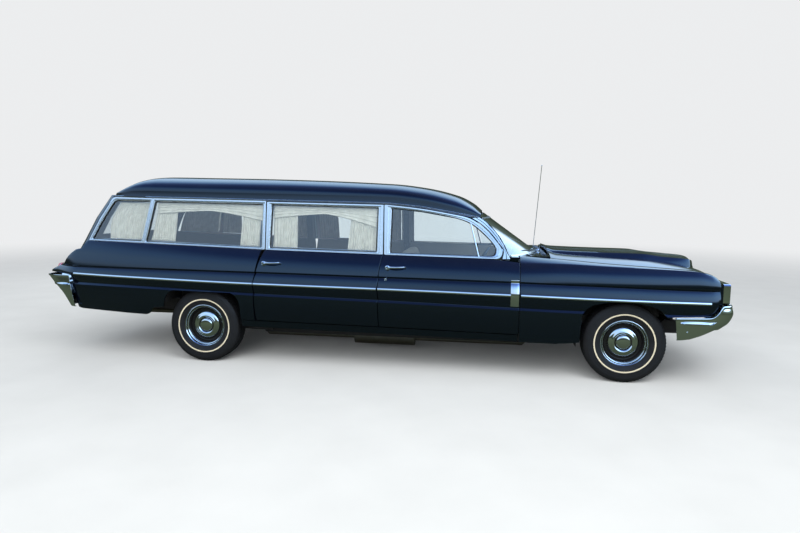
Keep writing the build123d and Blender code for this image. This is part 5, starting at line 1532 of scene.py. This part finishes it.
made_piece("hood_lip", hood_lip(), "hood", [CHROME], bend=50)

MIRROR_AT = (1282, 915, 1112)
SHELL = ((0, 15), (16, 14.4), (30, 12), (42, 8), (52, 1), (58, -7), (60, -11), (59, -13), (56, -13),
         (55, -10))
f = np.linspace(0, 1, 24)
stalk = np.stack([1294 - 10 * f, 866 + 36 * f + 6 * np.sin(pi * f), 1016 + 80 * f ** 0.8], -1)
mirror = turned(SHELL, MIRROR_AT, "x", 56) + swept(stalk, 8 - 2.5 * f)
made_piece("door_mirror_shell", mirror, "front_door_left", [CHROME], ("door_mirror",), bend=50)
SILVER = plain_metal("mirror_glass", (0.93, 0.94, 0.95), 0.0, scale=3, depth=0.00005, spread=0.02)
glass = turned(((0, -10.5), (20, -10.4), (40, -10.2), (55, -10)), MIRROR_AT, "x", 56)
made_piece("door_mirror_glass", glass, "front_door_left", [SILVER])

# Rear window surround, loading door handle and tail lamp rims.
# The same anodised strip as at the sides, round the glass of the loading door, and a chromed handle below.
# Columns: z, x of the corner, y of the corner, x in the middle
TAIL_ROWS = ((600, -2925, 640, -2962), (826, -3058, 640, -3092), (1134, -2856, 640, -2890),
             (1350, -2750, 600, -2795), (1570, -2606, 560, -2662))
PANE = ((-500, 1172), (-452, 1500), (452, 1500), (500, 1172))
PANE_FRAME = ((-530, 1142), (-478, 1528), (478, 1528), (530, 1142))


def on_tail(y, z, depth):
    """Points on the rear end, set in by depth: x bows by the square of y, between rows at given heights."""
    table = np.array(TAIL_ROWS, float).T
    corner_x, corner_y, middle_x = (np.interp(z, table[0], column) for column in table[1:])
    return np.stack([middle_x + (corner_x - middle_x) * (y / corner_y) ** 2 + depth - 2, y, z], -1)


made_piece("rear_window_frame", window_ring(PANE_FRAME, PANE, 20, 12, FRAME_STEPS, on_tail), "loading_door",
           [BRIGHT, RUBBER], bend=28)


def on_loading_door(parts, y, z):
    """Parts made about the origin, facing rearwards on the loading door at one place."""
    centre = on_tail(np.array(float(y)), np.array(float(z)), 0.0)
    return [(np.asarray(points).reshape(-1, 3)[:, (1, 0, 2)] * (-1, 1, 1) + centre, faces, number)
            for points, faces, number in parts]


made_piece("loading_door_handle", on_loading_door(handle(), -545, 1010)
           + on_loading_door(turned(LOCK, (0, 0, 0), "y", 32), -500, 950), "loading_door", [CHROME])


SLOT_R = 31
SLOT_HALF = 44
LENS_LEAN = 0.45
# Rings of the tail lamp, the lens from the sixth on. Columns: how far in, how far out
LAMP_RINGS = ((0, -6), (0, 1.8), (1, 3.6), (3, 4.2), (5, 3), (6, 1.2), (7, 2.4), (9, 4.2), (12, 5.4),
              (16, 6.3), (20, 6.9), (24, 7.2), (28, 7.38), (31, 7.5))
LENS_ROWS = range(5, len(LAMP_RINGS) - 1)


def lamp_cover(y, z, x):
    """A tail lamp: rings of a slot, 150 by 62 mm, that step in over a bright rim and swell to a lens."""
    turn = np.linspace(0, 2 * pi, 120, endpoint=False)
    inset, out = np.array(LAMP_RINGS).T[:, :, None]
    radius = SLOT_R - inset
    across, up = radius * np.cos(turn) + SLOT_HALF * np.tanh(9 * np.cos(turn)), radius * np.sin(turn)
    out = out + (inset > 8) * np.abs(np.sin(pi * across / 7))
    points = np.stack([x - out + LENS_LEAN * up, y + across, z + up], -1)
    return two_materials(points, grid_faces(*points.shape[:2], close_columns=True), LENS_ROWS)


RED = matt("red_lens", (0.35, 0.008, 0.006), 0.12, scale=150, depth=0.0004)
for side, flip in SIDES.items():
    made_piece(f"tail_lamp_{side}", sided(lamp_cover(704, 862, -3108), flip), "car_body",
               [CHROME, RED], bend=50)

# Engine dressing and radiator.
# Under the hood: pressed rocker covers and a round air cleaner on the block, and a finned radiator ahead.
RADIATOR_X = 2762
ENAMEL = plain_metal("engine_enamel", (0.16, 0.18, 0.20), 0.35, scale=30, depth=0.0004, metallic=0.0)


def rounded_bar(start, end, wide, tall, axis):
    """A long pod between two places: a superellipse section of power 4 that closes in at both ends."""
    f, turn = np.linspace(-1, 1, 40)[None, :], np.linspace(0, 2 * pi, 36, endpoint=False)[:, None]
    size = (1 - f ** 14) ** 0.25
    one = np.sign(np.cos(turn)) * np.abs(np.cos(turn)) ** 0.5 * wide * size
    two = np.sign(np.sin(turn)) * np.abs(np.sin(turn)) ** 0.5 * tall * size
    middle, half = (np.array(start) + end) / 2, np.linalg.norm(np.array(end, float) - start) / 2
    along = half * f + 0 * turn
    points = np.stack([along, one, two] if axis == "x" else [one, along, two], -1) + middle
    return [(points, grid_faces(*points.shape[:2], close_rows=True), 0)]


covers = rounded_bar((1760, 190, 862), (2380, 190, 862), 62, 34, "x")
made_piece("rocker_covers", covers + sided(covers, -1), "car_body", [ENAMEL], bend=60)
CLEANER = ((60, -12), (64, 0), (140, 6), (186, 12), (198, 22), (202, 34), (202, 58), (196, 68), (180, 73),
           (60, 78), (36, 84), (20, 86), (16, 96), (10, 99), (0, 100))
made_piece("air_cleaner", turned(CLEANER, (2060, 0, 838), "z", 72), "car_body", [PAINT],
           bend=50)


def core():
    """The radiator core: a band folded to and fro in teeth 6 mm apart, 44 mm deep, between the tanks."""
    y = np.repeat(np.linspace(-326, 326, 110), 2)
    x = RADIATOR_X + 22 * np.tile((1, 1, -1, -1), 55)
    z = np.linspace(448, 836, 12)[:, None]
    return skin(np.stack(np.broadcast_arrays(x, y, z), -1))


tanks = [part for z in (850, 434) for part in
         rounded_bar((RADIATOR_X, -336, z), (RADIATOR_X, 336, z), 30, 24, "y")]
made_piece("radiator_core", core(), "car_body", [WHEEL_BLACK], thick=0.6, bend=60)
made_piece("radiator_tanks", tanks, "car_body", [WHEEL_BLACK], bend=60)

# Pieces that keep their modelled shape and get their finish here.
# Underbody in black underseal, rusted exhaust, grey cast engine, varnished deck, cloth and trim inside.
CAST = matt("cast_metal", (0.10, 0.10, 0.10), 0.6, scale=60, depth=0.002)
STEEL = plain_metal("exhaust_steel", (0.30, 0.25, 0.21), 0.45, scale=30, depth=0.0015, spread=0.3)


def deck_wood():
    """Varnished wood: long bands from noise stretched along the car, darker in the pores."""
    material, tree, output = new_material("deck_wood")
    place = node(tree, "ShaderNodeMapping", {"Vector": node(tree, "ShaderNodeTexCoord").outputs["Object"],
                                             "Scale": (1.5, 28, 28)})
    grain = node(tree, "ShaderNodeTexNoise", {"Vector": place.outputs[0], "Scale": 2.0, "Detail": 8.0,
                                              "Distortion": 0.6}).outputs["Fac"]
    colour = two_tones(tree, grain, (0.10, 0.045, 0.018), (0.33, 0.17, 0.075), 0.35, 0.7)
    bump = node(tree, "ShaderNodeBump", {"Height": grain, "Distance": 0.0008, "Strength": 0.6})
    principled(tree, output, Base_Color=colour, Roughness=0.3, Coat_Weight=0.4, Normal=bump.outputs["Normal"])
    return material


FINISHES = {"black_paint": PAINT, "bright_frame": BRIGHT, "chrome": CHROME, "glass": GLASS,
            "lamp_glass": LENS, "red_lens": RED, "tyre": RUBBER, "wheel_black": WHEEL_BLACK,
            "underbody": UNDER, "cast_metal": CAST, "exhaust_steel": STEEL, "seat_cloth": SEAT_CLOTH,
            "drape_cloth": DRAPE_CLOTH, "dash_paint": DASH,
            "deck_wood": deck_wood(), "black_plastic": PLASTIC}
slots = {row["node"]: row["material_slot"] for row in frame["record"]["subparts"]}
for name, shown in frame["nodes"].items():
    shown.data.materials.clear()
    shown.data.materials.append(FINISHES[slots[name]])
